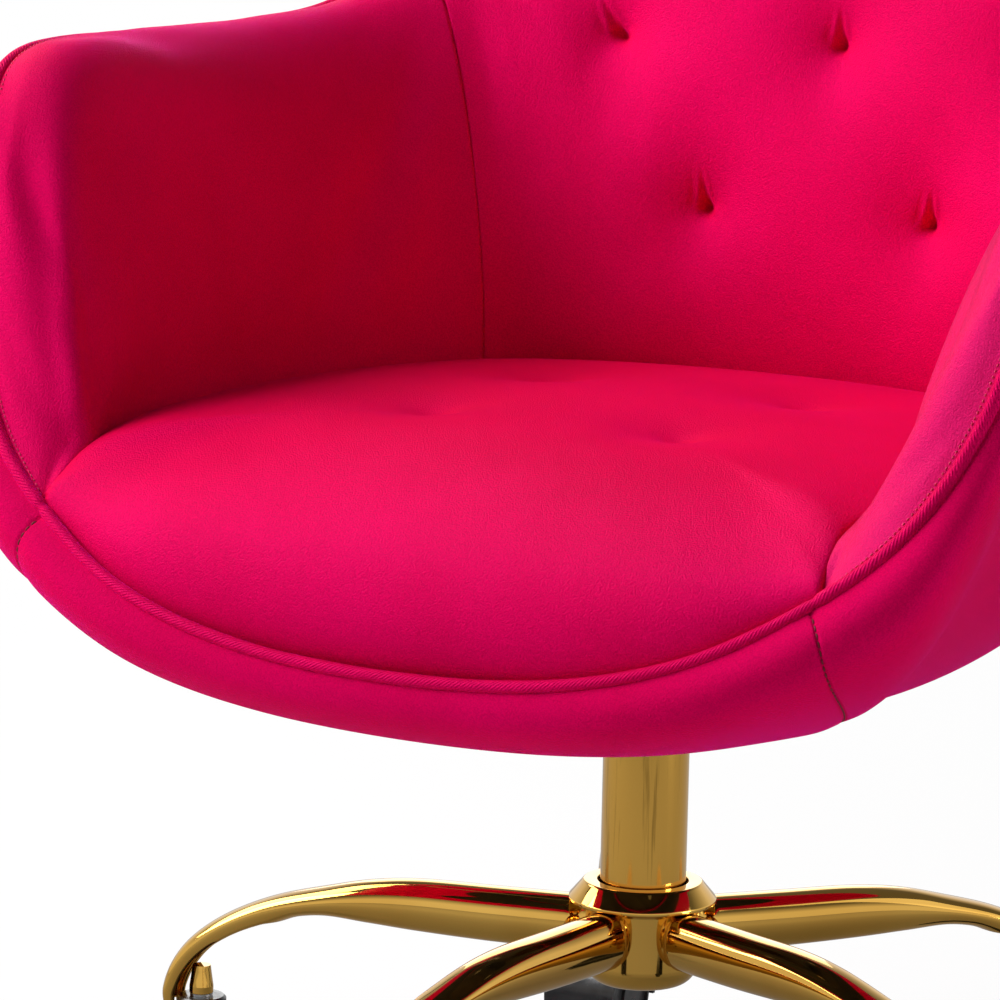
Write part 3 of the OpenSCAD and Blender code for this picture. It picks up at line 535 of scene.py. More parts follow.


# Paler, pinker dyes for the right arm: a painted highlight from the light on that side.
PAINTED_HIGHLIGHT_DYES = ((0.78, 0.008, 0.135), (0.86, 0.011, 0.165))
# The shares paint each panel's light: above 1 lighter, below 1 darker, as painted light and shade.
velvet = velvet_finish("hot_pink_velvet", *painted_light_tone(1.0))
back_cloth = velvet_finish("back_velvet", *painted_light_tone(1.05))
seat_cloth = velvet_finish("seat_velvet", *painted_light_tone(1.0), sheen=0.2)
cover_cloth = velvet_finish("cover_velvet", *painted_light_tone(0.97), gloss=(0.70, 0.85))
painted_highlight_cloth = velvet_finish("painted_highlight_velvet", *PAINTED_HIGHLIGHT_DYES, 0.9, (1.0, 0.16, 0.85))
print("velvet nodes:", len(velvet.node_tree.nodes))

# %% [markdown]
# ## Blowing up a cushion
#
# Foam pushes its cover outwards, and the cover is held at seams and tufts. A
# cloth simulation does the same: pressure inside, no gravity, and some points
# pinned. It runs on a coarse copy of each pad. Only the movement is kept,
# limited to a few millimetres, and spread smoothly over the fine surface, so
# that the finished pad keeps sharp seams and pleats.

# %% Cloth step
SWELL_FRAMES, PRESSURE, CLOTH_MASS = 20, 4.0, 0.25
STRETCH, SHEAR, BENDING = 18, 8, 0.6  # stiffness of the cover


def swell_net(points, quads, caps, held):
    """Runs a few frames of cloth with pressure on a closed net, and returns
    how far every point moved, in millimetres."""
    quads, caps, _ = face_out(points, quads, caps)
    mesh = bpy.data.meshes.new("swelling_net")
    faces = quads.tolist() + [list(map(int, cap)) for cap in caps]
    mesh.from_pydata((points * MM).tolist(), [], faces)
    net = bpy.data.objects.new("swelling_net", mesh)
    scene.collection.objects.link(net)
    net.vertex_groups.new(name="held").add(np.flatnonzero(held).tolist(), 1.0, "REPLACE")
    cloth = net.modifiers.new("cloth", "CLOTH")
    cloth.settings.quality = 6
    cloth.settings.mass = CLOTH_MASS
    cloth.settings.tension_stiffness = cloth.settings.compression_stiffness = STRETCH
    cloth.settings.shear_stiffness = SHEAR
    cloth.settings.bending_stiffness = BENDING
    cloth.settings.use_pressure = True
    cloth.settings.uniform_pressure_force = PRESSURE
    cloth.settings.vertex_group_mass = "held"
    cloth.settings.effector_weights.gravity = 0
    cloth.collision_settings.use_collision = False
    cloth.point_cache.frame_start, cloth.point_cache.frame_end = 1, SWELL_FRAMES
    for number in range(1, SWELL_FRAMES + 1):
        scene.frame_set(number)
    shaped = net.evaluated_get(bpy.context.evaluated_depsgraph_get()).to_mesh()
    moved = np.empty(len(points) * 3, np.float32)
    shaped.vertices.foreach_get("co", moved)
    bpy.data.objects.remove(net)
    bpy.data.meshes.remove(mesh)
    scene.frame_set(1)
    return moved.reshape(-1, 3) / MM - points


def finer(grid, count):
    """Resamples the first axis of a grid with a smooth curve through its rows."""
    ends = np.concatenate([grid[:1], grid, grid[-1:]])
    return through(ends, np.linspace(0, len(grid) - 1, count))


def spread_out(coarse, rows, cols):
    """Carries a coarse grid of movements to a finer grid: each value is first
    averaged with its neighbours, then both axes are resampled."""
    for axis in (0, 1):
        n = coarse.shape[axis]
        wide = np.concatenate([coarse.take([0], axis), coarse, coarse.take([-1], axis)], axis)
        before, after = wide.take(range(n), axis), wide.take(range(2, n + 2), axis)
        coarse = 0.25 * before + 0.5 * coarse + 0.25 * after
    return finer(finer(coarse, rows).swapaxes(0, 1), cols).swapaxes(0, 1)


def capped(name, move, most):
    """Shortens every movement that is longer than most, and tells the longest."""
    size = np.linalg.norm(move, axis=-1, keepdims=True)
    move = move * np.minimum(1, most / np.maximum(size, 1e-9))
    print(name, "swelled by up to %.1f mm" % np.linalg.norm(move, axis=-1).max())
    return move


def swell_pad(name, net, held, rows, most, count, visible):
    """Movement of a pad's visible rows, from the cloth step on a coarse net of
    rings, on the fine grid of count by visible points."""
    few, cols = net.shape[:2]
    quads = grid_faces(few, cols, False, True)
    move = swell_net(net.reshape(-1, 3), quads, ring_caps(few, cols), held.ravel())
    move = capped(name, move.reshape(few, cols, 3)[:, :rows], most)
    return spread_out(move, count, visible)


print("cloth frames:", SWELL_FRAMES)

# %% [markdown]
# ## Arms and back
#
# Each pad is a closed ring at every station: the visible band, then the hidden
# side against the frame. Sculpting would do too, but rings keep the pads on
# the same curves as the cover and the cord. The arm closes to a point at the
# corner of the seat. Where arm and back are sewn together, both draw in a
# little along the seam. In the picture the left arm is fuller along its front
# edge, so each arm has its own roll, and the right arm's dye is painted paler
# and pinker, a painted highlight.

# %% Pad sections
WELT_R, PAD_DEPTH = 3.8, 15.5
CHORD_SAG = np.array([0, 0, 5.0])
sitter = np.array([0.0, -60.0, 600.0])  # a point in front of all pads


def pad_rings(i, visible, hidden, narrow):
    """Rings of a pad: visible rows from the crease to the cord, then hidden
    rows down the frame. With narrow, the hidden side closes up at the corner."""
    i = i[:, None]
    front = band(i, band_end(i, WELT_R - 0.6) * np.linspace(0, 1, visible)[None])
    top, low = front[:, -1:], front[:, :1]
    start = wall_start(i, 20.0)
    deep = wall(i, start + (0.62 - start) * np.linspace(0, 1, hidden)[None], PAD_DEPTH)
    s = (np.arange(1, hidden + 1) / (hidden + 1))[None, :, None]
    chord = top + (low - top) * s - CHORD_SAG * np.sin(np.pi * s)
    share = ease((np.abs(i) - 3.3) / 1.6)[..., None] if narrow else 1.0
    return np.concatenate([front, chord + (deep - chord) * share], 1)


def outward_sign(front):
    """+1 where the grid's normals look towards the sitter, or else -1."""
    spot = (front.shape[0] // 2, front.shape[1] // 3)
    return 1.0 if np.dot(normals_of(front)[spot], sitter - front[spot]) > 0 else -1.0


def bell(height, radius, away):
    """Bell curve: its height in the middle, about a third of it at the radius."""
    return height * np.exp(-((away / radius) ** 2))


SEAM_FALLS = ((0.3, 11.0), (0.3, 2.0))  # depth and reach of a soft and a sharp fall, mm


def sunk(front, row):
    """How deep the seam at an end row draws in: two falls that die out with the
    distance from that row."""
    away = np.linalg.norm(front - front[row][None], axis=-1)
    return sum(depth * np.exp(-away / reach) for depth, reach in SEAM_FALLS)


print("seams draw in by %.1f mm" % sum(depth for depth, reach in SEAM_FALLS))

# %% Arms
ARM_STATIONS = (SEAM - 0.004, 3.05)
ARM_FINE, ARM_COARSE = (230, 150, 14), (46, 30, 5)  # stations, visible and hidden rows
CREST_STATIONS = (4.3, 4.9, 5.8, 6.4, 7.25, 8.5)
CREST_PLACES = (0.15, 0.22, 0.39, 0.50, 0.60, 0.66)  # 0 at the crease, 1 at the cord
ROLL_WIDTH, FOOT_WIDTH, FOOT_ROLL = 0.17, 0.12, 3.0  # shares of the section, and mm


def arm_rings(count, visible, hidden):
    """Rings of an arm, from the seam with the back to the corner of the seat."""
    return pad_rings(np.linspace(*ARM_STATIONS, count), visible, hidden, True)


def arm_roll(count, visible, height):
    """Extra foam on an arm: a bell-shaped ridge of the given height along its
    front edge, whose place on the section climbs with the station, and a low
    one beside the corner of the seat."""
    i, t = np.linspace(*ARM_STATIONS, count)[:, None], np.linspace(0, 1, visible)[None]
    crest = np.interp(i, CREST_STATIONS, CREST_PLACES)
    ridge = bell(height, ROLL_WIDTH, t - crest) * ease((i - 4.2) / 0.9)
    foot = bell(FOOT_ROLL, FOOT_WIDTH, t) * ease((i - 3.1) / 0.6)
    return ridge * (1 - ease((i - 7.3) / 2.2)) + foot * (1 - ease((i - 4.6) / 1.4))


def make_arm(name, side, node, cloth, height, most):
    """One arm: swelled, then raised by its roll and sunk along its seam."""
    count, visible = ARM_FINE[:2]
    rings = arm_rings(*ARM_FINE)
    front = rings[:, :visible]
    sign = outward_sign(front)
    few, rows, deep = ARM_COARSE
    held = np.ones((few, rows + deep), bool)
    held[2:-6, 2:rows - 2] = False
    front = front + swell_pad(name, arm_rings(*ARM_COARSE), held, rows, most, count, visible)
    rise = arm_roll(count, visible, height) - sunk(front, 0)
    front = front + sign * rise[..., None] * normals_of(front)
    rings = np.concatenate([front, rings[:, visible:]], 1)
    piece = loft_piece(name, rings * mirror if side < 0 else rings)
    return dress(piece, cloth, "seat", "velvet", node)


# The right arm's cloth carries the painted highlight in its dye.
arm_right = make_arm("arm_velvet_right", 1, "arm_pad_right", painted_highlight_cloth, -5.0, 2.0)
arm_left = make_arm("arm_velvet_left", -1, "arm_pad_left", velvet, 7.0, 5.0)
print("arm faces:", len(arm_right.data.polygons), len(arm_left.data.polygons))

# %% [markdown]
# ## Tufts
#
# A tuft is a thread pulled through the foam. The cover sinks in a steep pit
# with a soft basin round it, and the spare cloth folds into a short pleat that
# runs up from the pit. A simulation fine enough to fold a pleat would be slow,
# so a formula gives the pleat. Each tuft gets its own little compass: across
# the back and up the back, measured on the surface.

# %% Tufts
PITCH_X, PITCH_Z, LOW_Z = 148.0, 102.0, 533.0
tuft_rows = ((-0.5, 0.5), (-1, 0, 1), (-0.5, 0.5))
tufts = [(x * PITCH_X, LOW_Z + n * PITCH_Z) for n, row in enumerate(tuft_rows) for x in row]
BASIN, FUNNEL, THROAT = (6.0, 58), (6.5, 26), (3.0, 11)  # depth and radius, mm
PIT, PIT_WIDE, PIT_HIGH = 8.0, 4.2, 4.6
PLEAT_LENGTH, PLEAT_HALF = 24, 4.4
POCKET, FOLD, FOLD_WIDE, HOLLOW, HOLLOW_WIDE = 4.2, 1.7, 1.9, 0.9, 2.2


def pleat_depth(front, q):
    """A narrow pit where q, the distance from a tuft, is least, and above it two
    folds that lean together like a tent, with a pocket between them."""
    row, col = np.unravel_index(q.argmin(), q.shape)
    next_row, next_col = min(row + 2, q.shape[0] - 1), min(col + 2, q.shape[1] - 1)
    across = unit(front[next_row, col] - front[row - 2, col])
    upwards = unit(front[row, next_col] - front[row, col - 2])
    offset = front - front[row, col]
    u, v = offset @ across, offset @ upwards
    pit = PIT * np.exp(-((u / PIT_WIDE) ** 2) - ((v / PIT_HIGH) ** 2)) + bell(*THROAT, q)
    rise = np.clip(v / PLEAT_LENGTH, 0, 1)
    half = PLEAT_HALF * (1 - rise) ** 0.8 + 0.4
    fade = np.clip((v + 2) / 5, 0, 1) * (1 - rise)
    past = np.abs(u) - half
    folds = bell(POCKET, 0.75 * half + 0.6, u) - bell(FOLD, FOLD_WIDE, past)
    return pit + fade * (folds + bell(HOLLOW, HOLLOW_WIDE, past - 3.6))


def tuft_depth(front, sharp=True):
    """Depth of the tufts over the grid of the back: each is a wide basin and a
    funnel, and where asked a pit with its pleat."""
    total = np.zeros(front.shape[:2])
    for x, z in tufts:
        q = np.hypot(front[..., 0] - x, front[..., 2] - z)
        total += bell(*BASIN, q) + bell(*FUNNEL, q)
        if sharp:
            total += pleat_depth(front, q)
    return total


def nearest(a, b, spots):
    """Distance of every point (a, b) from the nearest of some spots."""
    return np.min([np.hypot(a - x, b - y) for x, y in spots], axis=0)


print("tufts:", len(tufts))

# %% Back
BACK_FINE, BACK_COARSE = (470, 330, 14), (62, 44, 5)  # stations, visible and hidden rows
BACK_MOST, TUFT_HELD = 6.0, 9  # mm


def back_rings(count, visible, hidden):
    """Rings of the back, from one seam round to the other."""
    w = np.linspace(-1, 1, count)
    i = LAST - (LAST - SEAM - 0.004) * np.abs(w)
    return pad_rings(np.where(w > 0, i, -i), visible, hidden, False)


count, visible = BACK_FINE[:2]
rings = back_rings(*BACK_FINE)
front = rings[:, :visible]
sign = outward_sign(front)
swelling = 0.0
rows = BACK_COARSE[1]
net = back_rings(*BACK_COARSE)
flat = net[:, :rows]
net[:, :rows] = flat - sign * tuft_depth(flat, False)[..., None] * normals_of(flat)
held = np.ones(net.shape[:2], bool)
held[2:-2, 2:rows - 2] = False
held[:, :rows] |= nearest(flat[..., 0], flat[..., 2], tufts) < TUFT_HELD
swelling = swell_pad("back", net, held, rows, BACK_MOST, count, visible)
depth = tuft_depth(front) + np.maximum(sunk(front, 0), sunk(front, -1))
front = front + swelling - sign * depth[..., None] * normals_of(front)
back_velvet = loft_piece("back_velvet", np.concatenate([front, rings[:, visible:]], 1))
dress(back_velvet, back_cloth, "seat", "velvet", "back_pad")
print("back faces:", len(back_velvet.data.polygons))

# %% [markdown]
# ## The seat
#
# The seat is one crowned pad. Its edge follows the cord along the front and the
# crease round the back. A round patch is awkward on a square grid, so the
# square is wrapped to a disc first: each square ring becomes a round one. The
# disc's angle then picks the station and its radius the way out to the edge.

# %% Seat surface
SEAT_CENTRE = np.array([0.0, -60.0])
CROWN_Z = 452.0
dimples = [(-78, -120), (78, -120), (-82, 22), (82, 22)]
DIMPLE, DIMPLE_PIT = (6.5, 34), (2.6, 11)  # depth and radius, mm
FRONT_AIM = 40.0


def drawn_in(xy, share):
    """Points a share of the way out from the centre of the seat."""
    return SEAT_CENTRE + (xy - SEAT_CENTRE) * share


def seat_edge(i):
    """Edge of the seat: beside the cord in front, in the crease elsewhere."""
    in_front = np.abs(i) <= CORNER
    base = np.where(in_front[..., None], rim(i), crease(i))
    rise = np.where(in_front, FRONT_AIM, 0.0)
    aim = np.concatenate([SEAT_CENTRE - base[..., :2], rise[..., None]], -1)
    course = rim_course(i)
    square = aim - (aim * course).sum(-1, keepdims=True) * course
    aim = np.where(in_front[..., None], square, aim)
    gap = (WELT_R - 0.6) * (1 - ease((np.abs(i) - 2.5) / 0.8)) + 0.3
    return base + unit(aim) * gap[..., None]


def seat_top(i, r):
    """Seat surface on rays from its centre: r is 0 in the middle, 1 at the edge.
    The crown falls towards the edge like an ellipse, steeply at the sides and
    in a long roll over the front."""
    q = seat_edge(i)
    f = ease((np.abs(i) - 1.8) / 3)
    xy = drawn_in(q[..., :2], r[..., None])
    x, y = xy[..., 0], xy[..., 1]
    r0 = 0.30 + 0.52 * f
    e = np.clip((r - r0) / (1 - r0), 0, 1)
    corner = bell(0.45, 1.1, np.abs(i) - 3.3)
    power = (2.75 - 0.75 * f) * (1 - corner) + 1.4 * corner
    shape = (1 - e**power) ** (1 / power)
    top = CROWN_Z - 12 * (x / 250) ** 2 - 13 * ((y + 50) / 220) ** 2
    for dx, dy in dimples:
        away = np.hypot(x - dx, y - dy)
        top = top - bell(*DIMPLE, away) - bell(*DIMPLE_PIT, away)
    z = q[..., 2] + (top - q[..., 2]) * shape
    return np.concatenate([xy, z[..., None]], -1)


stations = np.linspace(0, LAST, 801)
edge_row = seat_edge(stations)[:, :2] - SEAT_CENTRE
edge_angle = np.arctan2(edge_row[:, 1], edge_row[:, 0]) + math.pi / 2
edge_turn = np.maximum.accumulate(edge_angle)
print("seat edge at the front:", np.round(seat_edge(stations[:1]), 1).tolist())

# %% Seat
SEAT_FINE, SEAT_COARSE = 236, 58  # grid points a side
SEAT_MOST, DIMPLE_HELD, EDGE_HELD = 5.0, 8, 0.93  # mm, mm, and a share of the way out
BOTTOM_SHARE, BOTTOM_Z = 0.60, 318.0
SIDE_SHARE, SIDE_DROP, SIDE_Z = 0.93, 40, 322
SETTLED = np.array([0, 0, 1.5])  # the crown gives in a little under its cover


def seat_grid(n):
    """The seat on an n by n square that is wrapped to a disc: in each quarter
    the angle grows with one side's share of the other."""
    a, b = np.meshgrid(np.linspace(-1, 1, n), np.linspace(-1, 1, n), indexing="ij")
    r = np.maximum(np.abs(a), np.abs(b))
    wide = np.abs(a) >= np.abs(b)
    beside = math.pi / 4 * (b / np.where(a == 0, 1, a))
    above = math.pi / 2 - math.pi / 4 * (a / np.where(b == 0, 1, b))
    angle = np.where(wide, beside, above)
    angle = np.where(np.where(wide, a, b) < 0, angle + math.pi, angle)
    ahead = (angle + math.pi / 2 + math.pi) % (2 * math.pi) - math.pi
    i = np.sign(ahead + 1e-12) * np.interp(np.abs(ahead), edge_turn, stations)
    return seat_top(i, r), r


def seat_net(n):
    """Closed seat: the top grid, a drawn-in side and a flat bottom grid."""
    top, r = seat_grid(n)
    bottom = top.copy()
    bottom[..., :2] = drawn_in(top[..., :2], BOTTOM_SHARE)
    bottom[..., 2] = BOTTOM_Z
    k = np.arange(n)
    ring = [k, k[1:] * n + n - 1, (n - 1) * n + k[-2::-1], k[-2:0:-1] * n]
    ring = np.concatenate(ring)
    side = top.reshape(-1, 3)[ring]
    side[:, :2] = drawn_in(side[:, :2], SIDE_SHARE)
    side[:, 2] = np.maximum(side[:, 2] - SIDE_DROP, SIDE_Z)
    points = np.concatenate([top.reshape(-1, 3), bottom.reshape(-1, 3), side])
    square = grid_faces(n, n)
    after = np.roll(ring, -1)
    here = 2 * n * n + np.arange(len(ring))
    there = np.roll(here, -1)
    upper = np.stack([ring, here, there, after], -1)
    lower = np.stack([here, n * n + ring, n * n + after, there], -1)
    return points, np.concatenate([square, square[:, ::-1] + n * n, upper, lower]), top, r


points, quads, _, r = seat_net(SEAT_FINE)
net, net_quads, net_top, net_r = seat_net(SEAT_COARSE)
on_top = SEAT_COARSE**2
pressed = nearest(net_top[..., 0], net_top[..., 1], dimples) < DIMPLE_HELD
held = np.ones(len(net), bool)
held[:on_top] = ((net_r > EDGE_HELD) | pressed).ravel()
move = swell_net(net, net_quads, [], held)[:on_top]
move = capped("seat", move.reshape(SEAT_COARSE, SEAT_COARSE, 3), SEAT_MOST)
swelling = spread_out(move, SEAT_FINE, SEAT_FINE).reshape(-1, 3)
points[:SEAT_FINE**2] += swelling - SETTLED * (1 - r.reshape(-1, 1) ** 4)
seat_velvet = put_mesh("seat_velvet", points, quads)
dress(seat_velvet, seat_cloth, "seat", "velvet", "seat_pad")
print("seat faces:", len(seat_velvet.data.polygons))

# %% [markdown]
# ## The outer cover
#
# Outside, one thin padded cover runs from the cord down to the flat underside.
# Solidify could thicken a sheet, but a ring section can also round its fold:
# it has an outer face, a fold at the top, a lip round the hole below and an
# inner face. Two upright seams stand below the corners of the seat, and each
# is a narrow groove in the outer face.

# %% Cover
COVER_T, COVER_HOLE = 4.0, 104.0
SEAM_TOP, SEAM_NEAR = 2.90, 0.14  # stations
GROOVE, PUCKER = (1.1, 1.1), (1.0, 8.0)  # depth and half width, mm
BELLY = 4.2
FOLD_DEPTHS = np.array([0.25, 0.5, 0.75, 1.0])
FOLD_RISES = 1.3 * np.sin(np.pi * np.array([0.3, 0.5, 0.7, 0.95]))
LIP_EDGE = 0.8


def seam_station(t):
    """Course of the upright seam below the corner of the seat."""
    return SEAM_TOP + 4.0 * np.minimum(t, 0.72) ** 3


def belly(i, t):
    """How far the padding lets the front of the cover stand out: half a sine
    wave down the wall, which dies out along the arms."""
    return BELLY * np.sin(np.pi * np.clip((t - 0.04) / 0.86, 0, 1)) * (1 - ease((np.abs(i) - 8) / 5))


def leaning(s, t):
    """Station of a grid column s at wall parameter t. Columns near the seam
    lean with it, and the lean dies out towards the front middle and the arms."""
    near = ease(np.abs(s) / 2) * bell(1.0, 2.2, np.abs(s) - SEAM_TOP)
    return s + np.sign(s) * near * (seam_station(t) - SEAM_TOP)


def cover_rings(outer, inner):
    """Rings of the cover: fold, outer face, lip round the hole and lining."""
    even = np.linspace(-LAST, LAST, 520, endpoint=False)
    close = SEAM_TOP + np.linspace(-SEAM_NEAR, SEAM_NEAR, 41)
    s = np.sort(np.concatenate([even, close, -close]))[:, None]
    start = wall_start(s, WELT_R - 0.2)
    t = start + (1 - start) * np.linspace(0, 1, outer)[None] ** 1.15
    i = leaning(s, t)
    seam = wall(np.sign(i + 1e-9) * seam_station(t), t)
    away = np.linalg.norm(wall(i, t) - seam, axis=-1)
    face = wall(i, t, bell(*GROOVE, away) + bell(*PUCKER, away) - belly(i, t))
    fold = wall(s, np.broadcast_to(start, (len(s), 4)), COVER_T * FOLD_DEPTHS[None])
    fold[..., 2] += FOLD_RISES
    lining_t = np.linspace(1, 0, inner)[None] * (1 - start) + start
    lining = wall(leaning(s, lining_t), lining_t, COVER_T)
    lip = [(q, 0.0) for q in np.linspace(FLAT_R - 3, COVER_HOLE + 1, 4)]
    lip += [(COVER_HOLE, LIP_EDGE), (COVER_HOLE, COVER_T - LIP_EDGE), (COVER_HOLE + 1, COVER_T)]
    angle = heading(rim(leaning(s, np.ones_like(s))))
    lip = [spun(radius, angle, SHELL_Z + height) for radius, height in lip]
    return np.concatenate([fold[:, ::-1], face] + lip + [lining[:, :-1]], 1)


cover_velvet = loft_piece("cover_velvet", cover_rings(90, 16), caps=False)
dress(cover_velvet, cover_cloth, "seat", "velvet", "outer_cover")
print("cover faces:", len(cover_velvet.data.polygons))

# %% [markdown]
# ## The cloth underneath
#
# A thin black cloth closes the underside, as on most upholstered shells. The
# gold mirrors it: that is why the tops of the legs look dark. A single sheet
# would have no inside, so it is a closed one, less than a millimetre thick,
# that hugs the cover.

# %% Underside
i = np.linspace(-LAST, LAST, 360, endpoint=False)[:, None]
begin = 0.80 + 0.15 * ease((np.abs(i) - 2) / 3)
t = begin + (1 - begin) * np.linspace(0, 1, 26)[None]
radius = np.linspace(FLAT_R - 2, COVER_HOLE + 0.2, 5)[None]


def under_layer(gap):
    """The tucked part of the wall and the flat ring, a small gap below it."""
    ring = spun(radius, heading(rim(i)), SHELL_Z - gap)
    return np.concatenate([wall(i, t, -gap - belly(i, t)), ring], 1)


layers = np.concatenate([under_layer(0.9), under_layer(0.25)[:, ::-1]], 1)
under_cloth = loft_piece("under_cloth", layers, caps=False)
black_cloth = grained("black_under_cloth", 0.85, ((300,), near_black(0.006), near_black(0.016)),
                      relief=((900,), 0.4, 0.0005))
dress(under_cloth, black_cloth, "seat", "black_plastic")
print("under cloth faces:", len(under_cloth.data.polygons))

# %% [markdown]
# ## Piping
#
# The cord is wrapped in a strip of the same velvet, cut on the bias, so fine
# ribs cross it at a slant. It is sewn in three lengths that meet below the
# corners of the seat. The side lengths are a little thicker than the front
# one. A curve with a bevel would do, but it has no such change of thickness
# and no ribs. So a circle is carried along the rim on a frame made of the
# rim's course and the outward direction, and a UV map measures the cord.

# %% Piping finish
RIB_SLANT, RIB_SCALE = 52, 190.0  # degrees, and waves
# The piping's share paints it a little darker: painted shade.
piping_velvet = velvet_finish("piping_velvet", *painted_light_tone(0.97))
tree = piping_velvet.node_tree
place = tree.nodes.new("ShaderNodeUVMap").outputs["UV"]
slant = add_node(tree, "ShaderNodeMapping", Vector=place)
slant.inputs["Rotation"].default_value[2] = math.radians(RIB_SLANT)
ribs = add_node(tree, "ShaderNodeTexWave", Vector=slant.outputs["Vector"], Scale=RIB_SCALE)
ribs.inputs["Distortion"].default_value = 1.2
ribs.inputs["Detail Scale"].default_value = 2.0
shader = tree.nodes["Principled BSDF"]
pile_normal = shader.inputs["Normal"].links[0].from_socket
bump(tree, shader, ribs.outputs["Fac"], 0.5, 0.0007, pile_normal)
print("piping nodes:", len(tree.nodes))

# %% Piping
CORD_R, SIDE_EXTRA, CORD_WAVE = 3.45, 0.5, 0.10  # mm
SIDE_START, JOINT, JOINT_WIDE, JOINT_DEPTH = 2.92, 2.95, 0.035, 0.9  # stations, and mm
count, around = 1400, 20


def spokes(side_a, side_b, around):
    """Unit spokes of a wheel at every point of a path, spread over the plane of
    two directions: cosine times the first and sine times the second."""
    angle = 2 * np.pi * np.arange(around)[:, None] / around
    return np.cos(angle) * side_a[:, None] + np.sin(angle) * side_b[:, None]


i = np.linspace(-LAST, LAST, 6001)
run = run_along(rim(i))
distance = np.linspace(0, run[-1], count, endpoint=False)
i = np.interp(distance, run, i)
course = rim_course(i)
outwards = spun(1.0, heading(rim(i)), 0.0, 0.0)
side_a = unit(np.cross(course, outwards))
side_b = np.cross(side_a, course)
thick = CORD_R + SIDE_EXTRA * ease((np.abs(i) - SIDE_START) / 0.05)
thick = thick + CORD_WAVE * np.sin(distance / 10) - bell(JOINT_DEPTH, JOINT_WIDE, np.abs(i) - JOINT)
rings = rim(i)[:, None] + thick[:, None, None] * spokes(side_a, side_b, around)
length_uv = np.linspace(0, run[-1] * MM, count + 1)
girth_uv = np.linspace(0, 2 * np.pi * WELT_R * MM, around + 1)
uv = np.stack(np.meshgrid(length_uv, girth_uv, indexing="ij"), -1)
uv = np.stack([uv[:-1, :-1], uv[:-1, 1:], uv[1:, 1:], uv[1:, :-1]], 2).reshape(-1, 4, 2)
piping = loft_piece("rim_piping", rings, caps=False, uv=uv)
dress(piping, piping_velvet, "seat", "piping", "rim_welt")
print("piping faces:", len(piping.data.polygons))

# %% [markdown]
# ## Stitches
#
# The seams of the cover are closed with dark thread, about one stitch every
# four and a half millimetres. A lighter row holds the flange of the side
# piping. One stitch is a small spindle. Copies could be scattered along a
# curve, but all of them together make one light mesh: the spindle's points are
# placed on every seam point at once.

# %% Stitch helpers
SPINDLE_ROWS, SPINDLE_SIDES = 7, 6


def thread_finish(name, colour):
    """Twisted thread: two tones of one colour and a fine relief."""
    shade = tuple(0.7 * c for c in colour)
    return grained(name, 0.6, ((900, 1.0), shade, colour), relief=((2400, 1.0), 0.4, 0.0003))


def stitch_piece(name, starts, ends, lift, radius, material):
    """Spindles between pairs of points, raised along lift at their middle."""
    s = np.linspace(0, 1, SPINDLE_ROWS)[None, :, None]
    swell = radius * np.sqrt(np.clip(1 - (2 * s - 1) ** 4, 0.03, 1))
    raised = lift[:, None] * (np.sin(np.pi * s) - 0.35) * radius
    line = starts[:, None] + (ends - starts)[:, None] * s + raised
    course = unit(ends - starts)
    side = unit(np.cross(course, lift))
    spoke = spokes(side, np.cross(side, course), SPINDLE_SIDES)[:, None]
    points = line[:, :, None] + swell[..., None] * spoke
    first = np.arange(len(starts))[:, None] * SPINDLE_ROWS * SPINDLE_SIDES
    quads = grid_faces(SPINDLE_ROWS, SPINDLE_SIDES, False, True)[None] + first[..., None]
    caps = [cap for end in ring_caps(SPINDLE_ROWS, SPINDLE_SIDES) for cap in first + end]
    piece = put_mesh(name, points.reshape(-1, 3), quads.reshape(-1, 4), caps)
    print(name, "stitches:", len(starts))
    return dress(piece, material, "seat", "piping")


def along(path, run, s):
    """Points of a path at given distances along it."""
    return np.stack([np.interp(s, run, path[:, k]) for k in range(3)], -1)


print("points of one stitch:", SPINDLE_ROWS * SPINDLE_SIDES)

# %% Stitches
SEAM_PITCH, SEAM_LENGTH, SEAM_SPAN = 4.5, 3.7, (0.03, 0.74)  # mm, and wall parameters
FLANGE_PITCH, FLANGE_LENGTH, FLANGE_SPAN = 3.2, 2.2, (3.02, 8.6)  # mm, and stations
FLANGE_GAP, FLANGE_AIM = 2.6, 8.0  # mm from the cord


def seam_stitches(side):
    """Starts, ends and outward directions along one seam of the cover."""
    t = np.linspace(*SEAM_SPAN, 2000)
    i = side * seam_station(t)
    path = wall(i, t, 1.85 - belly(i, t))
    run = run_along(path)
    marks = np.arange(2, run[-1] - 4, SEAM_PITCH)
    i, t = np.interp(marks, run, i), np.interp(marks, run, t)
    out = unit(wall(i, t, 0.0) - wall(i, t, 5.0))
    return along(path, run, marks), along(path, run, marks + SEAM_LENGTH), out


def flange_stitches(side):
    """Starts, ends and outward directions beside the cord of one arm."""
    i = side * np.linspace(*FLANGE_SPAN, 4000)
    path = band(i, band_end(i, WELT_R + FLANGE_GAP))
    run = run_along(path)
    marks = np.arange(2, run[-1] - 4, FLANGE_PITCH)
    i = np.interp(marks, run, i)
    start = along(path, run, marks)
    across = unit(band(i, band_end(i, WELT_R + FLANGE_AIM)) - start)
    lift = unit(np.cross(unit(along(path, run, marks + 1) - start), across)) * side
    return start, along(path, run, marks + FLANGE_LENGTH), lift


dark_thread = thread_finish("dark_red_thread", (0.20, 0.001, 0.016))
pink_thread = thread_finish("pink_thread", (0.85, 0.03, 0.16))
both = [np.concatenate(pair) for pair in zip(seam_stitches(1), seam_stitches(-1))]
stitch_piece("cover_seam_stitches", *both, 0.42, dark_thread)
both = [np.concatenate(pair) for pair in zip(flange_stitches(1), flange_stitches(-1))]
stitch_piece("flange_stitches", *both, 0.4, pink_thread)
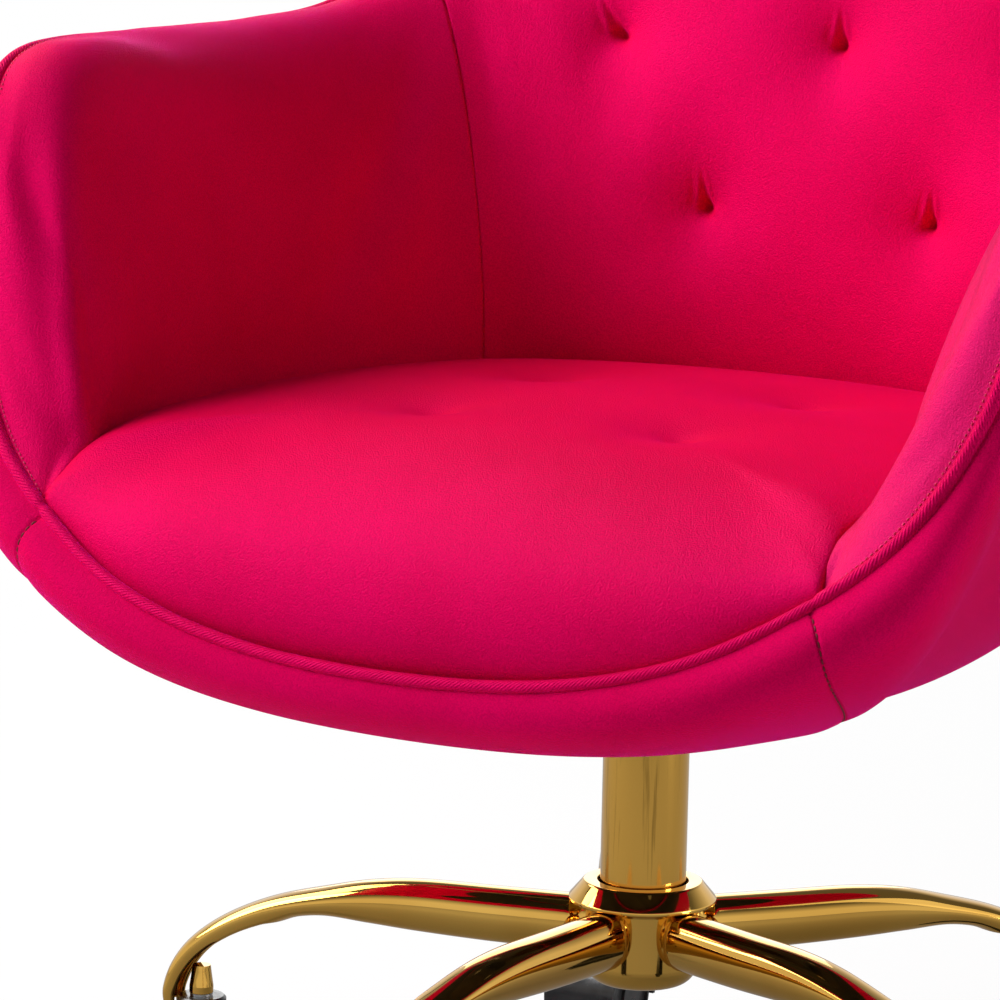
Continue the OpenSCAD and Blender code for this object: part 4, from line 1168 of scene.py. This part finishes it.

# %% [markdown]
# ## Polished gold
#
# The base is plated and polished like a mirror, so almost all of its look is
# reflection. The shader is a metal with a warm yellow colour and very low
# roughness. A faint noise in the roughness and a tiny waviness keep the
# reflections from looking computed. The tube of the column was drawn through
# a die, so its noise is stretched to long streaks. On the column the streaks
# also darken its colour: painted dark reflections.

# %% Gold
# The darkest tone is not the metal's colour: it paints dark reflections into the column's streaks.
GOLD, PALE_GOLD, PAINTED_REFLECTION_GOLD = (0.60, 0.335, 0.066), (0.66, 0.39, 0.085), (0.20, 0.105, 0.018)
STREAK = (120, 5.0, 0.62, (1, 1, 0.035))
gold = grained("polished_gold", 0.06, ((18,), GOLD, PALE_GOLD, 0.3, 0.7),
               ((60, 3.0), 0.035, 0.085), ((26, 1.0, 0.4, (1, 1, 0.35)), 0.12, 0.0006), 1.0)
# Streaks of painted dark reflection in the column's colour, and the die's streaks in its gloss and
# relief.
drawn_gold_painted_reflections = grained("drawn_gold_painted_reflections", 0.07, (STREAK, PAINTED_REFLECTION_GOLD, GOLD, 0.34, 0.47),
                     (STREAK, 0.05, 0.13), ((60, 2.0, 0.5, (1, 1, 0.05)), 0.10, 0.0004), 1.0)
print("gold nodes:", len(gold.node_tree.nodes), len(drawn_gold_painted_reflections.node_tree.nodes))

# %% [markdown]
# ## Column and hub
#
# Both are turned pieces: a flat outline spun about the column's axis, as the
# Screw modifier does. The corners of the outline are rounded first, because a
# real edge always catches a line of light. A bevel would do that too, but not
# so evenly: here each corner is replaced by a small curve between the two
# points where the rounding begins.

# %% Turned pieces
HUB_TOP, HUB_FOOT, HUB_R, COLLAR_R, FOOT_R = 161.0, 100.0, 33.0, 43.0, 12.5


def eased_corners(outline, radius, steps=5):
    """Rounds every corner of a closed outline: a quadratic curve between the
    points that lie radius away from the corner on both of its sides."""
    p = np.asarray(outline, float)

    def reach(shift):
        """Point on the way to a neighbour, at most a little short of halfway."""
        v = np.roll(p, shift, 0) - p
        size = np.linalg.norm(v, axis=1, keepdims=True)
        return (p + v / size * np.minimum(radius, 0.45 * size))[:, None]
    t = np.linspace(0, 1, steps)[None, :, None]
    curve = reach(1) * (1 - t) ** 2 + 2 * p[:, None] * t * (1 - t) + reach(-1) * t * t
    return curve.reshape(-1, 2)


def turned_piece(name, outline, radius=0.5, around=160):
    """Spins a closed outline of (radius, height) about the column's axis."""
    q = eased_corners(outline, radius)
    a = 2 * np.pi * np.arange(around)[:, None] / around
    return loft_piece(name, spun(q[:, 0], a, q[:, 1], 0.0), caps=False)


column = turned_piece("gold_column", [
    (5.3, 106), (23.87, 106), (25, 153), (25, 254),
    (23.5, 254), (23.5, 153), (22.4, 109), (5.3, 109)])
dress(column, drawn_gold_painted_reflections, "base", "gold_tube", "column_tube")
quarter = np.radians(np.arange(0, 91, 9))
foot_r = HUB_R - FOOT_R + FOOT_R * np.cos(quarter)
foot_z = HUB_FOOT + FOOT_R - FOOT_R * np.sin(quarter)
collar = [
    (26.5, HUB_TOP), (34, HUB_TOP), (35, HUB_TOP - 0.6), (COLLAR_R, HUB_TOP - 10),
    (COLLAR_R, HUB_TOP - 12), (HUB_R + 1.5, HUB_TOP - 14), (HUB_R, HUB_TOP - 15.5)]
bore = [(19, HUB_FOOT + 1), (19, 105.5), (23.87, 105.5), (25.02, 153), (26.5, 153)]
hub = turned_piece("gold_hub", collar + list(zip(foot_r, foot_z)) + bore, 0.6)
dress(hub, gold, "base", "gold_casting", "base_hub")
print("column and hub faces:", len(column.data.polygons), len(hub.data.polygons))

# %% [markdown]
# ## Swan-neck legs
#
# A leg leaves the hub level, arches and drops to its caster. Its section is an
# oval that stays square to the path. At the root the oval draws in to a neck,
# with a small fillet where it joins the hub. Near the end the leg becomes a
# hood that is open below, which a bevelled curve cannot do: the lower part of
# the oval folds up inside and turns into the inner wall.

# %% Legs
LEG_TOP, LEG_OUT, LEG_W, LEG_WALL = 148.5, 293.0, 31.0, 2.2  # mm
FIRST_LEG, LEG_COUNT = 49.5, 5  # degrees
FILLET_REACH, FILLET_WIDE, FILLET_HIGH = 2.6, 2.6, 1.8  # mm
SQUARENESS = 0.85  # 1 is a true ellipse, less is squarer
# Each row: share of the way out, drop below the top, share of the width, half height.
leg_table = np.array([
    (0.07, 17, 1.10, 18), (0.115, 16.7, 1.03, 17), (0.16, 16.5, 1.0, 16.5),
    (0.31, 16.2, 1.0, 16.17), (0.46, 15.3, 1.0, 15.18), (0.565, 15.8, 0.97, 12.54),
    (0.665, 18.2, 0.92, 8.25), (0.755, 24.0, 0.87, 7.0), (0.830, 32.3, 0.83, 6.4),
    (0.890, 42.2, 0.81, 6.2), (0.937, 53.6, 0.80, 6.0), (0.968, 66.0, 0.79, 5.6),
    (0.985, 79.0, 0.76, 5.0), (0.986, 88.5, 0.70, 4.2)])
leg_row = np.vstack([2 * leg_table[0] - leg_table[1], leg_table, 2 * leg_table[-1] - leg_table[-2]])


def leg_rings(count=170, half=44):
    """Rings of a leg. The outer path runs over the top from one lower edge to
    the other, and the inner path comes back inside. On the solid part the
    inner path lies flat in the bottom line; on the hood it is the inner wall."""
    k = np.linspace(0, len(leg_table) - 1, count)
    row = through(leg_row, k)
    middle = np.stack([row[:, 0] * LEG_OUT, LEG_TOP - row[:, 1]], -1)
    course = unit(np.gradient(middle, axis=0))
    out = middle[:, 0] - HUB_R
    neck = ease((out + 1) / 10)
    fillet = np.exp(-np.maximum(out, 0) / FILLET_REACH)
    wide = (row[:, 2] * LEG_W / 2 * (0.58 + 0.42 * neck) + FILLET_WIDE * fillet)[:, None]
    high = (row[:, 3] * (0.84 + 0.16 * neck) + FILLET_HIGH * fillet)[:, None]
    hollow = ease((k - 6.5) / 1.0)[:, None]
    low = np.radians(90 - 52 * hollow)
    f = np.linspace(0, 1, half)[None]

    def oval(angle, shrink):
        """Rounded oval, drawn deeper below where the leg is hollow."""
        c, s = np.cos(angle), np.sin(angle)
        deep = 1 + 0.45 * hollow * (s < 0)
        across = np.sign(c) * np.abs(c) ** SQUARENESS * (wide - shrink)
        return across, np.sign(s) * np.abs(s) ** SQUARENESS * (high - shrink) * deep
    ax, az = oval(-low + (np.pi + 2 * low) * f, 0.0)
    bx, bz = oval(np.pi + low - (np.pi + 2 * low) * f, LEG_WALL)
    bx = bx * hollow + (1 - hollow) * 0.6 * (2 * f - 1)
    bz = bz * hollow + (1 - hollow) * (0.05 - high)
    x, z = np.concatenate([ax, bx], 1), np.concatenate([az, bz], 1)
    return np.stack([middle[:, :1] - course[:, 1:] * z, x, middle[:, 1:] + course[:, :1] * z], -1)


straight_leg = leg_rings()
for n in range(LEG_COUNT):
    a = math.radians(FIRST_LEG + 360 / LEG_COUNT * n)
    spin = np.array([[math.cos(a), math.sin(a), 0], [-math.sin(a), math.cos(a), 0], [0, 0, 1]])
    leg = loft_piece("gold_leg_%d" % (n + 1), straight_leg @ spin)
    dress(leg, gold, "base", "gold_casting", "base_leg_%d" % (n + 1))
print("leg faces:", len(leg.data.polygons))

# %% [markdown]
# ## Small parts from the frame
#
# Casters, the seat pan, the lever and the works of the gas lift keep their
# own solids, which are already as fine as they show. Each gets a finish of its
# own: glossy black nylon with a fine moulded grain, black powder coat, bright
# steel, stained plywood.

# %% Finishes for the solids
GRAIN = (1, 9, 1)
WOOD, PALE_WOOD = (0.012, 0.010, 0.009), (0.030, 0.024, 0.020)
STEEL, PALE_STEEL = (0.44, 0.45, 0.46), (0.60, 0.61, 0.62)
nylon = grained("glossy_nylon", 0.2, ((40,), near_black(0.006), near_black(0.014)),
                ((120, 3.0), 0.13, 0.30), ((700,), 0.06, 0.0004))
tread = grained("wheel_nylon", 0.34, ((60, 3.0), near_black(0.010), near_black(0.026)),
                ((160, 3.0), 0.25, 0.5), ((900,), 0.10, 0.0004))
powder = grained("black_powder_coat", 0.5, ((25,), near_black(0.010), near_black(0.020)),
                 relief=((1100,), 0.25, 0.0004))
steel = grained("bright_steel", 0.28, ((30,), STEEL, PALE_STEEL),
                ((300, 2.0, 0.5, (1, 1, 8)), 0.2, 0.4), metallic=1.0)
plywood = grained("stained_plywood", 0.6, ((14, 4.0, 0.6, GRAIN), WOOD, PALE_WOOD),
                  relief=((90, 3.0, 0.5, GRAIN), 0.2, 0.0006))
soft_black = grained("black_moulding", 0.45, ((50,), near_black(0.010), near_black(0.022)),
                     relief=((800,), 0.2, 0.0004))
solid_finish = {
    "caster_housing": nylon, "wheel_left": tread, "wheel_right": tread, "seat_pan": powder,
    "tub_frame": plywood, "mounting_board": plywood, "guide_bush": soft_black,
    "lever_grip": soft_black, "stem_sockets": gold, "valve_pin": gold}
for name, node in nodes.items():
    node.data.materials.clear()
    node.data.materials.append(solid_finish.get(name.rstrip("_12345"), steel))
print("finishes on solids:", len(nodes))

# %% [markdown]
# ## Studio
#
# The chair stands on a pale floor that runs to the horizon. The camera sees
# the floor almost white, and quite white far out, so that no horizon shows,
# and it still takes the chair's shadow. A large key lamp stands high on the
# left of the picture and a second one behind it. A weak lamp and a small low
# one on the right only lift the shade, so the inside of the left arm stays
# dark. A lamp behind the chair is there for the gold to mirror. Mirrored rays
# see the floor dimmer, most of all under the chair, because a real floor is
# shaded there: polished gold shows what stands round it.

# %% Floor
FLOOR_HALF = 20000.0
CAMERA_SHARE, CAMERA_FADE, CAMERA_WHITE = (0.90, 1.0), (0.8, 2.6), 1.0  # shares, and metres
MIRROR_SHARE, MIRROR_FADE, MIRROR_WHITE = 0.88, (0.15, 0.75), (0.20, 0.57)
floor_corners = FLOOR_HALF * np.array([(-1, -1, 0), (1, -1, 0), (1, 1, 0), (-1, 1, 0)])
floor = put_mesh("floor", floor_corners, np.array([[0, 1, 2, 3]]), closed=False)
floor_paint, floor_tree, shader = finish("floor_paint", 0.7)
shader.inputs["Base Color"].default_value = (0.80, 0.80, 0.80, 1)
shader.inputs["Specular IOR Level"].default_value = 0.1
floor_rays = floor_tree.nodes.new("ShaderNodeLightPath").outputs
away = floor_tree.nodes.new("ShaderNodeVectorMath")
away.operation = "LENGTH"
place = floor_tree.nodes.new("ShaderNodeTexCoord")
floor_tree.links.new(place.outputs["Object"], away.inputs[0])
from_column = away.outputs["Value"]


def mixed(tree, share, first, second):
    """Two shaders blended by a share of the second."""
    blend = add_node(tree, "ShaderNodeMixShader", Fac=share)
    tree.links.new(first, blend.inputs[1])
    tree.links.new(second, blend.inputs[2])
    return blend.outputs[0]


def shown_as(surface, ray, share, strength):
    """Lets one kind of ray see mostly an even white of a given strength."""
    white = add_node(floor_tree, "ShaderNodeEmission", Strength=strength)
    part = floor_tree.nodes.new("ShaderNodeMath")
    part.operation = "MULTIPLY"
    floor_tree.links.new(floor_rays[ray], part.inputs[0])
    feed(floor_tree, share, part.inputs[1])
    return mixed(floor_tree, part.outputs[0], surface, white.outputs[0])


camera_share = spread(floor_tree, from_column, *CAMERA_SHARE, *CAMERA_FADE)
mirror_white = spread(floor_tree, from_column, *MIRROR_WHITE, *MIRROR_FADE)
seen_floor = shown_as(shader.outputs[0], "Is Camera Ray", camera_share, CAMERA_WHITE)
seen_floor = shown_as(seen_floor, "Is Glossy Ray", MIRROR_SHARE, mirror_white)
floor_tree.links.new(seen_floor, floor_tree.nodes["Material Output"].inputs["Surface"])
floor.data.materials.append(floor_paint)
print("floor nodes:", len(floor_tree.nodes))

# %% World
AROUND_STRENGTH, CEILING = 0.03, (0.16, 0.16, 0.16)
world = bpy.data.worlds.new("studio")
scene.world = world
world.use_nodes = True
tree = world.node_tree
tree.nodes.clear()
rays = tree.nodes.new("ShaderNodeLightPath").outputs
seen = rays["Is Camera Ray"]
for ray in ("Is Glossy Ray", "Is Transmission Ray"):
    either = tree.nodes.new("ShaderNodeMath")
    either.operation = "MAXIMUM"
    tree.links.new(seen, either.inputs[0])
    tree.links.new(rays[ray], either.inputs[1])
    seen = either.outputs[0]
sky = tree.nodes.new("ShaderNodeTexCoord").outputs["Generated"]
height = add_node(tree, "ShaderNodeSeparateXYZ", Vector=sky).outputs["Z"]
backdrop = ramp(tree, height, WHITE, CEILING, 0.30, 0.62)
bright = add_node(tree, "ShaderNodeBackground", Color=backdrop)
soft = add_node(tree, "ShaderNodeBackground", Color=(*WHITE, 1), Strength=AROUND_STRENGTH)
output = tree.nodes.new("ShaderNodeOutputWorld")
around_chair = mixed(tree, seen, soft.outputs[0], bright.outputs[0])
tree.links.new(around_chair, output.inputs["Surface"])
print("world nodes:", len(tree.nodes))

# %% Lamps
TO_CAMERA, TO_LEFT = np.array([0.498, -0.867, 0.0]), np.array([-0.867, -0.498, 0.0])
UP, LAMP_AIM = np.array([0, 0, 1.0]), np.array([0, 0, 0.45])
# Each row: turn from the camera to the picture's left, height angle, size, power, distance.
lamps = {
    "key_lamp": (90, 35, 1.8, 106, 3.0), "side_lamp": (130, 40, 1.8, 62, 3.0),
    "fill_lamp": (-75, 32, 1.8, 11, 3.0), "low_lamp": (-70, 2, 0.8, 25, 3.0),
    "backdrop_lamp": (180, 12, 1.3, 9, 3.2)}
for name, (turned, raised, size, power, reach) in lamps.items():
    data = bpy.data.lights.new(name, "AREA")
    data.size = size
    data.energy = power
    lamp = bpy.data.objects.new(name, data)
    scene.collection.objects.link(lamp)
    a, b = math.radians(turned), math.radians(raised)
    level_way = math.cos(a) * TO_CAMERA + math.sin(a) * TO_LEFT
    spot = LAMP_AIM + reach * (math.cos(b) * level_way + math.sin(b) * UP)
    z = unit(spot - LAMP_AIM)
    x = unit(np.cross(UP, z))
    lamp.matrix_world = placed(x, np.cross(z, x), z, spot)
scene.view_settings.view_transform = "Standard"
print("lamps:", len(lamps))
